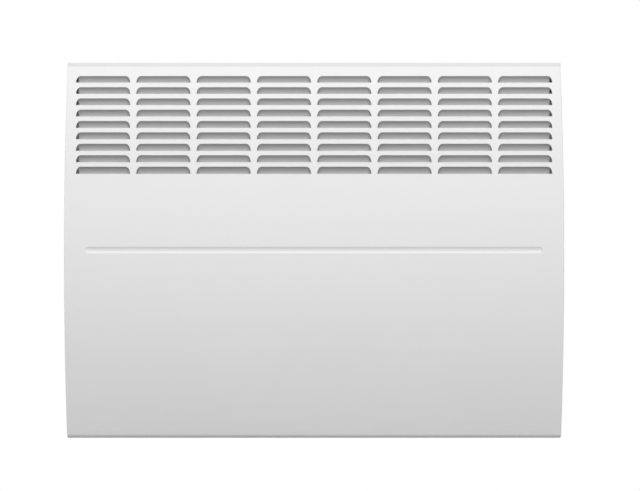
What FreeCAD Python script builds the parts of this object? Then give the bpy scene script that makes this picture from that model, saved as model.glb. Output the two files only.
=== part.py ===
import FreeCAD, Part
import math
import os
from FreeCAD import Placement, Rotation, Vector

# Wall-hung electric convector heater with a bowed, louvred sheet-steel cover.
# Millimetres. +X is to the right seen from the front, +Y points at the wall, +Z is up.
# The origin is on the wall, at the middle of the bracket's four fixing holes.

# Overall size
WIDTH = 592.0
HEIGHT = 451.0
BODY_DEPTH = 78.0  # back of the rear panel to the front of the bow
STANDOFF = 20.0  # wall to the back of the rear panel
BOW_SAG = 40.0  # how far the bow has fallen back at the foot of the top lip
LIP_HEIGHT = 5.5

# Sheet metal of the casing
COVER_SHEET = 1.0
PANEL_SHEET = 1.0
GRILLE_SHEET = 1.0
SHIELD_SHEET = 0.8
TOP_BEND = 1.5
SIDE_BEND = 1.4
LIP_CREASE = 3.0
BOTTOM_ROLL = 4.0
SHARPEST_BEND = 0.2
BACK_FLANGE = 14.0
PANEL_MARGIN = 4.0
PANEL_CORNER = 6.0
BEAD_END_MARGIN = 96.0  # side of the cover to the end of a bead
BEAD_WIDTH = 16.0
BEAD_DEPTH = 2.0
BEAD_MARGIN = 75.5  # top or bottom of the cover to the middle of a bead

# Louvres pressed into the cover
LOUVRE_COLUMNS = 8
LOUVRE_ROWS = 9
LOUVRE_MARGIN = 6.8  # side of the cover to the louvred field
LOUVRE_BRIDGE = 7.5  # sheet between two louvres of a row
LOUVRE_HEIGHT = 8.9
LOUVRE_DEPTH = 8.5
LOUVRE_KNEE_HEIGHT = 6.2  # slit to where the steep wall under the arch eases off
LOUVRE_KNEE_DEPTH = 5.0
ROW_PITCH = 13.8
TOP_SLIT_DROP = 24.8  # top of the cover to the first slit

# Groove pressed across the cover
GROOVE_MARGIN = 25.5  # side of the cover to the end of the groove
GROOVE_WIDTH = 7.0
GROOVE_DEPTH = 1.2
GROOVE_DROP = 225.5  # top of the cover to the groove

# Air inlet in the underside
INLET_MARGIN = 26.0  # side of the cover to the end of the inlet
INLET_DEPTH = 23.0
INLET_SETBACK = 5.0  # back of the cover to the inlet
GRILLE_LAP = 4.0
GRILLE_SLOT_WIDTH = 5.0
GRILLE_SLOT_LENGTH = 19.0
GRILLE_SLOT_PITCH = 9.0

# Fasteners and fits
SCREW_RADIUS = 1.7
SCREW_HEAD_RADIUS = 3.6
SCREW_HEAD_HEIGHT = 2.0
SCREW_LENGTH = 8.0
RIVET_RADIUS = 1.6
RIVET_HEAD_RADIUS = 3.2
RIVET_HEAD_HEIGHT = 1.2
HOLE_CLEARANCE = 0.1
SLIP_CLEARANCE = 0.3
RUNNING_CLEARANCE = 0.05
OVERSHOOT = 1.0  # how far a cutter stands past the face that it cuts
NEAR = 0.01  # how close two points count as one
SIDE_SCREW_MARGIN = 45.5  # top or bottom of the cover to the end screws of a side
EDGE_SCREW_MARGIN = 156.0  # side of the cover to the screws at top and bottom

# Wall bracket
BRACKET_SHEET = 1.5
BRACKET_HEIGHT = 210.0
FIXING_SPACING_X = 300.0
FIXING_SPACING_Z = 180.0
FIXING_RADIUS = 3.25
HOOK_SPACING = 330.0
UPRIGHT_WIDTH = 30.0
CROSSBAR_HEIGHT = 30.0
BRACKET_BEND = 2.0
BRACKET_WINDOW_CORNER = 12.0
WEB_GAP = 0.6
UPPER_SEAT_RISE = 80.0
LOWER_SEAT_DROP = 70.0
HOOK_ROOT = 10.0
HOOK_FINGER = 9.0
HOOK_THICKNESS = 2.5
HOOK_GAP = 0.8
LIFT = 12.0
HOOK_SLOT_WIDTH = 5.0
HOOK_SLOT_SPARE = 2.0

# Heating element
ELEMENT_SETBACK = 36.0  # back of the rear panel to the element's axis
ELEMENT_RISE = 110.5  # bottom of the cover to the element's axis
ELEMENT_LEFT_SPACE = 57.0  # left side of the cover to the element
ELEMENT_BAY_SPACE = 51.0  # element to the control bay
HUB_RADIUS = 8.0
ROD_RADIUS = 4.3
ROD_OVERHANG = 24.0
ARM_ANGLE = 55.0
ARM_LENGTH = 30.0
ARM_THICKNESS = 3.0
FIN_THICKNESS = 1.6
FIN_LOW = 8.0
FIN_HIGH = 30.0
INNER_FIN_LOW = 10.0
PIN_RADIUS = 1.6
PIN_LENGTH = 12.0
SEAL_RADIUS = 3.6
SEAL_LENGTH = 5.0
ELEMENT_BRACKET_SHEET = 1.2
ELEMENT_BRACKET_GAP = 10.0
ELEMENT_BRACKET_HEIGHT = 34.0
ELEMENT_BRACKET_CORNER = 6.0
ELEMENT_FOOT = 14.0
ELEMENT_RIVET_REACH = 8.4  # bracket's plate to the rivets in its foot
ELEMENT_RIVET_SPACING = 17.0
BUSH_RADIUS = 7.0
BUSH_FLANGE_RADIUS = 9.5
BUSH_FLANGE = 2.0
BUSH_LENGTH = 6.0

# Heat shield behind the element
SHIELD_DEPTH = 11.0
SHIELD_HEIGHT = 130.0
SHIELD_FOOT = 10.0
SHIELD_RIVET_PITCH = 170.0
SHIELD_END_GAP = 3.0

# Overheat cut-out on the shield
CUTOUT_RADIUS = 8.0
CUTOUT_HEIGHT = 9.0
CUTOUT_BAY_SPACE = 92.0  # middle of the cut-out to the control bay
CUTOUT_RISE = 52.0  # above the middle of the element
CUTOUT_EAR_LENGTH = 32.0
CUTOUT_EAR_WIDTH = 8.0
CUTOUT_EAR_SHEET = 1.0
CUTOUT_EAR_HOLES = 24.0

# Spade tabs
TAB_WIDTH = 4.8
TAB_SHEET = 0.8
TAB_LENGTH = 8.0
TAB_SPACING = 9.0
TAB_ROOT = 1.0  # how far a tab is set into its block

# Control bay at the right-hand end
BAY_WIDTH = 74.0
BAY_TOP = 75.0
BAY_SHEET = 0.8
BAY_FOOT = 10.0
BAY_RIVET_INSET = 42.0
BOW_CLEARANCE = 3.0
GROMMET_HOLE = 5.0
GROMMET_RIM = 1.4
GROMMET_RIM_SHEET = 1.5
HEATER_GROMMET_DROP = 30.0

# Control fascia in the right-hand side
FASCIA_SETBACK = 30.0  # back of the rear panel to the middle of the fascia
FASCIA_DROP = 18.0
FASCIA_DEPTH = 38.0
FASCIA_HEIGHT = 120.0
FASCIA_RIM = 3.0
FASCIA_RIM_SHEET = 2.0
FASCIA_WALL = 2.0
FASCIA_SKIRT = 12.0
FASCIA_CORNER = 8.0
FASCIA_EDGE = 1.0
SNAP_LENGTH = 14.0
SNAP_HOOK = 1.2
SNAP_HEIGHT = 4.0
DISH_RADIUS = 17.5
DISH_DEPTH = 9.0
KNOB_RISE = 32.0
LAMP_DROP = 6.0
SWITCH_DROP = 38.0

# Thermostat and knob
KNOB_RADIUS = 15.5
KNOB_HEIGHT = 9.5
KNOB_FLOOR_GAP = 0.8
KNOB_FLUTES = 24
KNOB_FLUTE_RADIUS = 1.1
KNOB_EDGE = 1.0
KNOB_GRIP_WIDTH = 7.0
KNOB_GRIP_RISE = 2.0
KNOB_WELL_RADIUS = 12.4
KNOB_REST_ANGLE = 45.0  # the grip bar at its lowest setting, off upright
SPINDLE_RADIUS = 3.0
SPINDLE_SEAT = 5.0
SPINDLE_TAIL = 4.0
CAM_RADIUS = 5.0
CAM_THROW = 2.0
CAM_THICKNESS = 3.0
THERMOSTAT_WIDTH = 30.0
THERMOSTAT_HEIGHT = 32.0
THERMOSTAT_DEPTH = 16.0
THERMOSTAT_SCREW_REACH = 10.0
THERMOSTAT_TAB_RISE = 10.0
BIMETAL_SHEET = 0.8
BIMETAL_WIDTH = 8.0
BIMETAL_REACH = 8.5
BIMETAL_FOOT = 6.0

# Rocker switch
SWITCH_WIDTH = 12.6
SWITCH_LENGTH = 19.0
SWITCH_DEPTH = 22.0
SWITCH_BEZEL = 1.6
SWITCH_BEZEL_SHEET = 1.2
SWITCH_WALL = 1.2
ROCKER_GAP = 0.35
ROCKER_END_GAP = 1.5
ROCKER_PIVOT_DEPTH = 6.0
ROCKER_CROWN = 0.5
ROCKER_ANGLE = 9.0
ROCKER_KEEL = 3.0
TRUNNION_RADIUS = 1.4
TRUNNION_LENGTH = 0.8

# Indicator lamp
LENS_RADIUS = 2.9
LENS_RIM_RADIUS = 3.8
LENS_RIM = 0.7
LENS_DOME = 1.0
LENS_BODY = 6.0
LAMP_RADIUS = 4.2
LAMP_LENGTH = 9.0

# Mains connection
BLOCK_LENGTH = 44.0
BLOCK_HEIGHT = 22.0
BLOCK_DEPTH = 16.0
BLOCK_INSET = 37.0  # outside of the cover to the middle of the block
BLOCK_RISE = 75.5  # bottom of the cover to the middle of the block
POLE_PITCH = 13.0
POLE_SCREW_RADIUS = 2.6
POLE_SCREW_DEPTH = 4.0
POLE_SCREW_HEIGHT = 2.8
POLE_SLOT_DEPTH = 1.2
POLE_SLOT_WIDTH = 0.8
POLE_SCREW_SPREAD = 6.0
POLE_MOUTH_RADIUS = 1.8
POLE_MOUTH_DEPTH = 3.0
GLAND_RISE = 35.5  # bottom of the cover to the cable entry
GLAND_BORE = 4.2
GLAND_RADIUS = 7.5
GLAND_FLANGE_RADIUS = 11.0
GLAND_FLANGE = 4.0
GLAND_EDGE = 1.6
GLAND_REACH = 11.0
GLAND_NUT_ACROSS = 19.0
GLAND_NUT_HEIGHT = 4.5
EARTH_INSET = 54.0
EARTH_RISE = 105.5  # bottom of the cover to the earth stud
EARTH_RADIUS = 2.0
EARTH_LENGTH = 12.0
EARTH_NUT_ACROSS = 7.0
EARTH_NUT_HEIGHT = 3.2
EARTH_TAG_SHEET = 1.0
EARTH_TAG_RADIUS = 4.0
EARTH_TAG_REACH = 9.0

# Wiring
WIRE_RADIUS = 1.2
WIRE_PANEL_GAP = 4.0
WIRE_RUN_RISE = 30.5  # bottom of the cover to the long wire's run
WIRE_CLIP_SPACING = 150.0
WIRE_CLIP_COUNT = 3
WIRE_CLIP_LENGTH = 8.0
WIRE_CLIP_WALL = 1.6
WIRE_BEND = 12.0  # widest bend
BEND_SHARE = 0.45  # share of the shorter run that a bend may use
LEAD = 12.0  # straight length of a lead beside its end
SLACK = 8.0  # how far a lead stands off what it passes

# Planes and lines that the pieces share
TOP = HEIGHT / 2
BOTTOM = -HEIGHT / 2
SIDE = WIDTH / 2
PANEL_BACK = -STANDOFF
PANEL_FRONT = PANEL_BACK - PANEL_SHEET
COVER_BACK = PANEL_FRONT
COVER_FRONT = PANEL_BACK - BODY_DEPTH
COLUMN_PITCH = (WIDTH - 2 * LOUVRE_MARGIN) / LOUVRE_COLUMNS
LOUVRE_LENGTH = COLUMN_PITCH - LOUVRE_BRIDGE
INLET_LENGTH = WIDTH - 2 * INLET_MARGIN
LIP_FOOT = TOP - LIP_HEIGHT
LIP_Y = COVER_FRONT + BOW_SAG
BOW_RADIUS = (LIP_FOOT**2 + BOW_SAG**2) / (2 * BOW_SAG)
BOW_CENTRE_Y = COVER_FRONT + BOW_RADIUS
GRILLE_FLOOR = BOTTOM + COVER_SHEET
ELEMENT_Y = PANEL_BACK - ELEMENT_SETBACK
ELEMENT_Z = BOTTOM + ELEMENT_RISE
SHIELD_Y = PANEL_FRONT - SHIELD_DEPTH
BAY_X = SIDE - BAY_WIDTH
ELEMENT_LEFT = -SIDE + ELEMENT_LEFT_SPACE
ELEMENT_RIGHT = BAY_X - ELEMENT_BAY_SPACE
ELEMENT_LENGTH = ELEMENT_RIGHT - ELEMENT_LEFT
CUTOUT_X = BAY_X - CUTOUT_BAY_SPACE
BAY_ROOF_END = SIDE - BACK_FLANGE - 2 * SLIP_CLEARANCE
BAY_FLOOR = BOTTOM + BACK_FLANGE + 2 * SLIP_CLEARANCE
FASCIA_Y = PANEL_BACK - FASCIA_SETBACK
FASCIA_Z = -FASCIA_DROP
FASCIA_FACE = SIDE + FASCIA_RIM_SHEET
FASCIA_BACK = FASCIA_FACE - FASCIA_RIM_SHEET - FASCIA_WALL
KNOB_Z = FASCIA_Z + KNOB_RISE
LAMP_Z = FASCIA_Z - LAMP_DROP
SWITCH_Z = FASCIA_Z - SWITCH_DROP
DISH_FLOOR = FASCIA_FACE - DISH_DEPTH
DISH_BACK = DISH_FLOOR - FASCIA_WALL
KNOB_BASE = DISH_FLOOR + KNOB_FLOOR_GAP
THERMOSTAT_BACK = DISH_BACK - THERMOSTAT_DEPTH
PIVOT_X = FASCIA_FACE - ROCKER_PIVOT_DEPTH
BLOCK_X = SIDE - BLOCK_INSET
BLOCK_Z = BOTTOM + BLOCK_RISE
GLAND_Z = BOTTOM + GLAND_RISE
WIRE_RUN_Z = BOTTOM + WIRE_RUN_RISE
WIRE_RUN_Y = PANEL_FRONT - WIRE_PANEL_GAP
HEATER_GROMMET_Z = ELEMENT_Z + CUTOUT_RISE - HEATER_GROMMET_DROP


def bow_y(z, inset=0.0):
    """Where the bow's surface, moved inwards by inset, stands at height z."""
    return BOW_CENTRE_Y - math.sqrt((BOW_RADIUS - inset) ** 2 - z**2)


def block(x, y, z):
    """A box from (low, high) pairs."""
    corner = Vector(min(x), min(y), min(z))
    return Part.makeBox(max(x) - min(x), max(y) - min(y), max(z) - min(z), corner)


def around(middle, size):
    """The (low, high) pair of a size about a middle."""
    return (middle - size / 2, middle + size / 2)


def bar(radius, start, end):
    """A round bar between two points."""
    run = end - start
    return Part.makeCylinder(radius, run.Length, start, run)


def prism(points, run):
    """A closed outline of points, pushed along a vector."""
    outline = Part.makePolygon(points + points[:1])
    return Part.Face(outline).extrude(run)


def hexagon_along_y(across, x, z, y_low, y_high):
    """A hexagonal nut's outside."""
    radius = across / math.sqrt(3)
    points = []
    for i in range(6):
        angle = math.radians(60 * i)
        points.append(Vector(x + radius * math.cos(angle), y_low, z + radius * math.sin(angle)))
    return prism(points, Vector(0, y_high - y_low, 0))


def joined(shapes):
    """Several overlapping solids as one."""
    return shapes[0].fuse(shapes[1:]).removeSplitter()


def rounded_along(solid, axis, radius, keep=lambda edge: True):
    """A solid with its straight edges along one axis rounded."""
    chosen = []
    for edge in solid.Edges:
        if len(edge.Vertexes) == 2 and isinstance(edge.Curve, Part.Line):
            run = edge.Vertexes[1].Point - edge.Vertexes[0].Point
            if abs(run.normalize().dot(axis)) > 0.999 and keep(edge):
                chosen.append(edge)
    return solid.makeFillet(radius, chosen)


# Cover
def cover_block(inset):
    """The solid inside the cover's faces, all moved inwards by inset."""
    top = TOP - inset
    bottom = BOTTOM + inset
    back = COVER_BACK - inset
    lip = LIP_Y + inset
    half = SIDE - inset
    crease = math.sqrt((BOW_RADIUS - inset) ** 2 - (BOW_CENTRE_Y - lip) ** 2)
    roll = bow_y(bottom, inset)
    top_back = Vector(-half, back, top)
    lip_top = Vector(-half, lip, top)
    lip_foot = Vector(-half, lip, crease)
    belly = Vector(-half, COVER_FRONT + inset, 0)
    bow_foot = Vector(-half, roll, bottom)
    bottom_back = Vector(-half, back, bottom)
    outline = Part.Wire(
        [
            Part.makeLine(top_back, lip_top),
            Part.makeLine(lip_top, lip_foot),
            Part.Arc(lip_foot, belly, bow_foot).toShape(),
            Part.makeLine(bow_foot, bottom_back),
            Part.makeLine(bottom_back, top_back),
        ]
    )
    solid = Part.Face(outline).extrude(Vector(2 * half, 0, 0))
    bends = [
        (lip, top, max(TOP_BEND - inset, 2 * SHARPEST_BEND)),
        (lip, crease, LIP_CREASE + inset),
        (roll, bottom, max(BOTTOM_ROLL - inset, 2 * SHARPEST_BEND)),
    ]
    for y, z, radius in bends:
        line = Vector(0, y, z)

        def on_line(edge):
            point = edge.Vertexes[0].Point
            return (Vector(0, point.y, point.z) - line).Length < NEAR

        solid = rounded_along(solid, Vector(1, 0, 0), radius, on_line)
    rims = []
    for edge in solid.Edges:
        ends = [v.Point for v in edge.Vertexes]
        at_side = all(abs(abs(p.x) - half) < NEAR for p in ends) and ends[0].x * ends[-1].x > 0
        at_back = all(abs(p.y - back) < NEAR for p in ends)
        if at_side and not at_back:
            rims.append(edge)
    return solid.makeFillet(max(SIDE_BEND - inset, SHARPEST_BEND), rims)


def on_bow(x, z):
    """The placement that lays a piece on the bow: its +Y goes in through the sheet, its +Z up the sheet."""
    tilt = math.degrees(math.asin(z / BOW_RADIUS))
    return Placement(Vector(x, bow_y(z), z), Rotation(Vector(1, 0, 0), -tilt))


def placed(shape, placement):
    """A copy of a shape, moved by a placement."""
    copy = shape.copy()
    copy.Placement = placement.multiply(shape.Placement)
    return copy


def louvre_solid(section):
    """A section of (depth, rise) corners, drawn along the slit and turned a quarter round both its ends."""
    straight = LOUVRE_LENGTH - 2 * LOUVRE_HEIGHT
    left = Vector(-straight / 2, 0, 0)
    right = Vector(straight / 2, 0, 0)
    corners = [Vector(0, depth, rise) for depth, rise in section]
    pieces = [prism([left + c for c in corners], right - left)]
    for end, turn in ((left, -90), (right, 90)):
        face = Part.Face(Part.makePolygon([end + c for c in corners + corners[:1]]))
        pieces.append(face.revolve(end, Vector(0, 1, 0), turn))
    return joined(pieces)


def bow_point(angle, inset, x):
    """The point of the bow, moved inwards by inset, at an angle above its middle."""
    radius = BOW_RADIUS - inset
    return Vector(x, BOW_CENTRE_Y - radius * math.cos(angle), radius * math.sin(angle))


def row_angles():
    """The angles on the bow between which the rows of louvres lie, evenly down it from the top."""
    top = TOP - TOP_SLIT_DROP + (ROW_PITCH + LOUVRE_HEIGHT) / 2
    return [math.asin((top - row * ROW_PITCH) / BOW_RADIUS) for row in range(LOUVRE_ROWS + 1)]


def louvre_places():
    """The middle of each louvre's slit, with +Y going in through the sheet and +Z up the sheet."""
    angles = row_angles()
    places = []
    for above, below in zip(angles, angles[1:]):
        foot = bow_point(below, 0, 0)
        slit = foot + (bow_point(above, 0, 0) - foot) * (ROW_PITCH - LOUVRE_HEIGHT) / (2 * ROW_PITCH)
        tilt = Rotation(Vector(1, 0, 0), -math.degrees((above + below) / 2))
        for column in range(LOUVRE_COLUMNS):
            x = (column - (LOUVRE_COLUMNS - 1) / 2) * COLUMN_PITCH
            places.append(Placement(slit + Vector(x, 0, 0), tilt))
    return places


def louvre_section(start, inset):
    """A louvre's section as (depth, height) corners, moved back by an inset and cut off at a start depth."""
    arch = Vector(0, LOUVRE_HEIGHT)
    knee = Vector(LOUVRE_KNEE_DEPTH, LOUVRE_KNEE_HEIGHT)
    slit = Vector(LOUVRE_DEPTH, 0)
    wall = Vector(arch.y - knee.y, knee.x - arch.x).normalize()
    ramp = Vector(knee.y - slit.y, slit.x - knee.x).normalize()
    top = (arch.dot(wall) + inset - start * wall.x) / wall.y
    corner = knee + (wall + ramp) * (inset / (1 + wall.dot(ramp)))
    tip = (slit.dot(ramp) + inset) / ramp.x
    return [(start, 0), (start, top), (corner.x, corner.y), (tip, 0)]


def louvre_field():
    """The louvred part of the bow: a flat strip for each row, with its louvres pressed inwards."""
    half = LOUVRE_COLUMNS * COLUMN_PITCH / 2
    front = [bow_point(angle, 0, -half) for angle in row_angles()]
    back = [bow_point(angle, COVER_SHEET, -half) for angle in reversed(row_angles())]
    field = prism(front + back, Vector(2 * half, 0, 0))
    outside = louvre_solid(louvre_section(COVER_SHEET / 2, COVER_SHEET))
    inside = louvre_solid(louvre_section(-COVER_SHEET, 0))
    places = louvre_places()
    field = field.fuse([placed(outside, place) for place in places])
    return field.cut([placed(inside, place) for place in places])


def with_louvres(cover):
    """The cover with its louvred field set into the bow."""
    half = LOUVRE_COLUMNS * COLUMN_PITCH / 2
    top, *_, foot = row_angles()
    field_sag = BOW_RADIUS * (1 - math.cos((top - foot) / 2))
    reach = field_sag + 2 * COVER_SHEET
    ends = [(top, -reach), (foot, -reach), (foot, reach), (top, reach)]
    window = prism([bow_point(angle, inset, -half) for angle, inset in ends], Vector(2 * half, 0, 0))
    return cover.cut(window).fuse(louvre_field())


def capsule(radius, length):
    """A round-ended bar along X, about the origin."""
    left = Vector(-length / 2, 0, 0)
    right = Vector(length / 2, 0, 0)
    return joined([bar(radius, left, right), Part.makeSphere(radius, left), Part.makeSphere(radius, right)])


def pressed_bead(sheet, length, width, depth):
    """The added back and the hollow of a round bead pressed into a sheet's +Y side."""
    radius = (width**2 / 4 + depth**2) / (2 * depth)
    straight = length - width
    axis = Vector(0, depth - radius, 0)
    back = capsule(radius + sheet, straight)
    back.translate(axis)
    hollow = capsule(radius, straight)
    hollow.translate(axis)
    reach = radius + sheet
    behind = block(around(0, length + 4 * reach), (sheet / 2, sheet + 2 * reach), around(0, 4 * reach))
    return back.common(behind), hollow


def with_groove(cover):
    """The cover with the long groove pressed across its middle."""
    back, hollow = pressed_bead(COVER_SHEET, WIDTH - 2 * GROOVE_MARGIN, GROOVE_WIDTH, GROOVE_DEPTH)
    place = on_bow(0, TOP - GROOVE_DROP)
    return cover.fuse(placed(back, place)).cut(placed(hollow, place))


def cover_screw_places():
    """The (x, z) of each screw that holds the rear panel to the cover's back flange."""
    inset = (BACK_FLANGE + PANEL_MARGIN) / 2
    places = []
    for side in (-1, 1):
        for rise in (BOTTOM + SIDE_SCREW_MARGIN, 0, TOP - SIDE_SCREW_MARGIN):
            places.append((side * (SIDE - inset), rise))
        for end in (-1, 1):
            places.append((side * (SIDE - EDGE_SCREW_MARGIN), end * (TOP - inset)))
    return places


def inlet_span():
    """The (low, high) of the air inlet along Y."""
    back = COVER_BACK - INLET_SETBACK
    return (back - INLET_DEPTH, back)


def fascia_opening(grow):
    """The opening for the fascia in the cover's right side, grown all round."""
    solid = block(
        (SIDE - COVER_SHEET - FASCIA_SKIRT, SIDE + FASCIA_RIM_SHEET),
        around(FASCIA_Y, FASCIA_DEPTH + 2 * grow),
        around(FASCIA_Z, FASCIA_HEIGHT + 2 * grow),
    )
    return rounded_along(solid, Vector(1, 0, 0), max(FASCIA_CORNER + grow, SHARPEST_BEND))


def front_cover():
    cover = cover_block(0).cut(cover_block(COVER_SHEET))
    cover = with_louvres(cover)
    cover = with_groove(cover)
    window = block(
        around(0, WIDTH - 2 * BACK_FLANGE),
        (COVER_BACK - 2 * COVER_SHEET, COVER_BACK + COVER_SHEET),
        around(0, HEIGHT - 2 * BACK_FLANGE),
    )
    inlet = block(around(0, INLET_LENGTH), inlet_span(), (BOTTOM - COVER_SHEET, BOTTOM + 2 * COVER_SHEET))
    cuts = [window, inlet, fascia_opening(0)]
    for x, z in cover_screw_places():
        start = Vector(x, COVER_BACK - 2 * COVER_SHEET, z)
        cuts.append(bar(SCREW_RADIUS + HOLE_CLEARANCE, start, Vector(x, COVER_BACK + COVER_SHEET, z)))
    return cover.cut(cuts)


def inlet_grille():
    """The slotted sheet that lies over the air inlet, inside the cover."""
    low, high = inlet_span()
    plate = block(
        around(0, INLET_LENGTH + 2 * GRILLE_LAP),
        (low - GRILLE_LAP, high + GRILLE_LAP),
        (GRILLE_FLOOR, GRILLE_FLOOR + GRILLE_SHEET),
    )
    count = int((INLET_LENGTH - GRILLE_SLOT_WIDTH) // GRILLE_SLOT_PITCH)
    slots = []
    for i in range(count):
        x = (i - (count - 1) / 2) * GRILLE_SLOT_PITCH
        span_z = (GRILLE_FLOOR - GRILLE_SHEET, GRILLE_FLOOR + 2 * GRILLE_SHEET)
        span_y = around((low + high) / 2, GRILLE_SLOT_LENGTH)
        slots.append(block(around(x, GRILLE_SLOT_WIDTH), span_y, span_z))
    return plate.cut(slots)


# Rear panel and wall bracket
def hook_seats():
    """The (x, z) of the flat seat of each of the bracket's hooks."""
    places = []
    for side in (-1, 1):
        places.append((side * HOOK_SPACING / 2, UPPER_SEAT_RISE))
        places.append((side * HOOK_SPACING / 2, -LOWER_SEAT_DROP))
    return places


def rivet_places():
    """The (x, z, grip) of each rivet in the rear panel, grip being the sheet in front of the panel."""
    places = []
    for x, out in ((left_bracket_x(), -1), (right_bracket_x(), 1)):
        for z in around(ELEMENT_Z, ELEMENT_RIVET_SPACING):
            places.append((x + out * ELEMENT_RIVET_REACH, z, ELEMENT_BRACKET_SHEET))
    middle = (shield_left() + shield_right()) / 2
    for x in (middle - SHIELD_RIVET_PITCH, middle, middle + SHIELD_RIVET_PITCH):
        for z in around(ELEMENT_Z, SHIELD_HEIGHT + SHIELD_FOOT):
            places.append((x, z, SHIELD_SHEET))
    for z in (BAY_FLOOR + BAY_RIVET_INSET, BAY_TOP - BAY_RIVET_INSET):
        places.append((BAY_X + BAY_SHEET + BAY_FOOT / 2, z, BAY_SHEET))
    return places


def panel_hole(radius, x, z):
    """A cutter through the rear panel."""
    return bar(radius, Vector(x, PANEL_FRONT - PANEL_SHEET, z), Vector(x, PANEL_BACK + PANEL_SHEET, z))


def block_screw_places():
    """The (x, z) of the two screws that hold the terminal block."""
    reach = (BLOCK_LENGTH + 2 * POLE_PITCH) / 4 + POLE_SCREW_RADIUS / 2
    return [(BLOCK_X - reach, BLOCK_Z), (BLOCK_X + reach, BLOCK_Z)]


def earth_place():
    """The (x, z) of the earth stud."""
    return (SIDE - EARTH_INSET, BOTTOM + EARTH_RISE)


def rear_panel():
    panel = block(
        around(0, WIDTH - 2 * PANEL_MARGIN),
        (PANEL_FRONT, PANEL_BACK),
        around(0, HEIGHT - 2 * PANEL_MARGIN),
    )
    panel = rounded_along(panel, Vector(0, 1, 0), PANEL_CORNER)
    back, hollow = pressed_bead(PANEL_SHEET, WIDTH - 2 * BEAD_END_MARGIN, BEAD_WIDTH, BEAD_DEPTH)
    for rise in (BOTTOM + BEAD_MARGIN, TOP - BEAD_MARGIN):
        place = Placement(Vector(0, PANEL_FRONT, rise), Rotation())
        panel = panel.fuse(placed(back, place)).cut(placed(hollow, place))
    cuts = []
    for x, seat in hook_seats():
        foot = seat - HOOK_ROOT - LIFT - HOOK_SLOT_SPARE
        through = (PANEL_FRONT - PANEL_SHEET, PANEL_BACK + PANEL_SHEET)
        cuts.append(block(around(x, HOOK_SLOT_WIDTH), through, (foot, seat)))
    for x, z in cover_screw_places() + block_screw_places():
        cuts.append(panel_hole(SCREW_RADIUS + HOLE_CLEARANCE, x, z))
    for x, z, grip in rivet_places():
        cuts.append(panel_hole(RIVET_RADIUS + HOLE_CLEARANCE, x, z))
    cuts.append(panel_hole(GLAND_RADIUS + HOLE_CLEARANCE, BLOCK_X, GLAND_Z))
    cuts.append(panel_hole(EARTH_RADIUS + HOLE_CLEARANCE, *earth_place()))
    return panel.cut(cuts)


def wall_bracket():
    """A frame on the wall with two upright webs, each with two upturned hooks."""
    outer = HOOK_SPACING + BRACKET_SHEET
    frame = block(around(0, outer), (-BRACKET_SHEET, 0), around(0, BRACKET_HEIGHT))
    gap = block(
        around(0, outer - 2 * UPRIGHT_WIDTH),
        (-2 * BRACKET_SHEET, BRACKET_SHEET),
        around(0, BRACKET_HEIGHT - 2 * CROSSBAR_HEIGHT),
    )
    gap = rounded_along(gap, Vector(0, 1, 0), BRACKET_WINDOW_CORNER)
    web_front = PANEL_BACK + WEB_GAP
    webs = []
    for side in (-1, 1):
        x = around(side * HOOK_SPACING / 2, BRACKET_SHEET)
        webs.append(block(x, (web_front, 0), around(0, BRACKET_HEIGHT)))
    frame = joined([frame.cut(gap)] + webs)

    def at_wall_corner(edge):
        point = edge.Vertexes[0].Point
        return abs(abs(point.x) - outer / 2) < NEAR and abs(point.y) < NEAR

    frame = rounded_along(frame, Vector(0, 0, 1), BRACKET_BEND, at_wall_corner)
    finger_back = PANEL_FRONT - HOOK_GAP
    finger_front = finger_back - HOOK_THICKNESS
    hooks = []
    for x, seat in hook_seats():
        outline = [
            Vector(x - BRACKET_SHEET / 2, web_front + BRACKET_SHEET, seat),
            Vector(x - BRACKET_SHEET / 2, finger_back, seat),
            Vector(x - BRACKET_SHEET / 2, finger_back, seat + HOOK_FINGER),
            Vector(x - BRACKET_SHEET / 2, finger_front + HOOK_GAP, seat + HOOK_FINGER),
            Vector(x - BRACKET_SHEET / 2, finger_front, seat + HOOK_FINGER - 2 * HOOK_GAP),
            Vector(x - BRACKET_SHEET / 2, finger_front, seat - HOOK_ROOT),
            Vector(x - BRACKET_SHEET / 2, web_front + BRACKET_SHEET, seat - HOOK_ROOT),
        ]
        hooks.append(prism(outline, Vector(BRACKET_SHEET, 0, 0)))
    frame = joined([frame] + hooks)
    holes = []
    for x in around(0, FIXING_SPACING_X):
        for z in around(0, FIXING_SPACING_Z):
            holes.append(bar(FIXING_RADIUS, Vector(x, -2 * BRACKET_SHEET, z), Vector(x, BRACKET_SHEET, z)))
    return frame.cut(holes)


# Heating element and its carriers
def left_bracket_x():
    """The outer face of the left element bracket."""
    return ELEMENT_LEFT - ELEMENT_BRACKET_GAP - ELEMENT_BRACKET_SHEET


def right_bracket_x():
    """The outer face of the right element bracket."""
    return ELEMENT_RIGHT + ELEMENT_BRACKET_GAP + ELEMENT_BRACKET_SHEET


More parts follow.
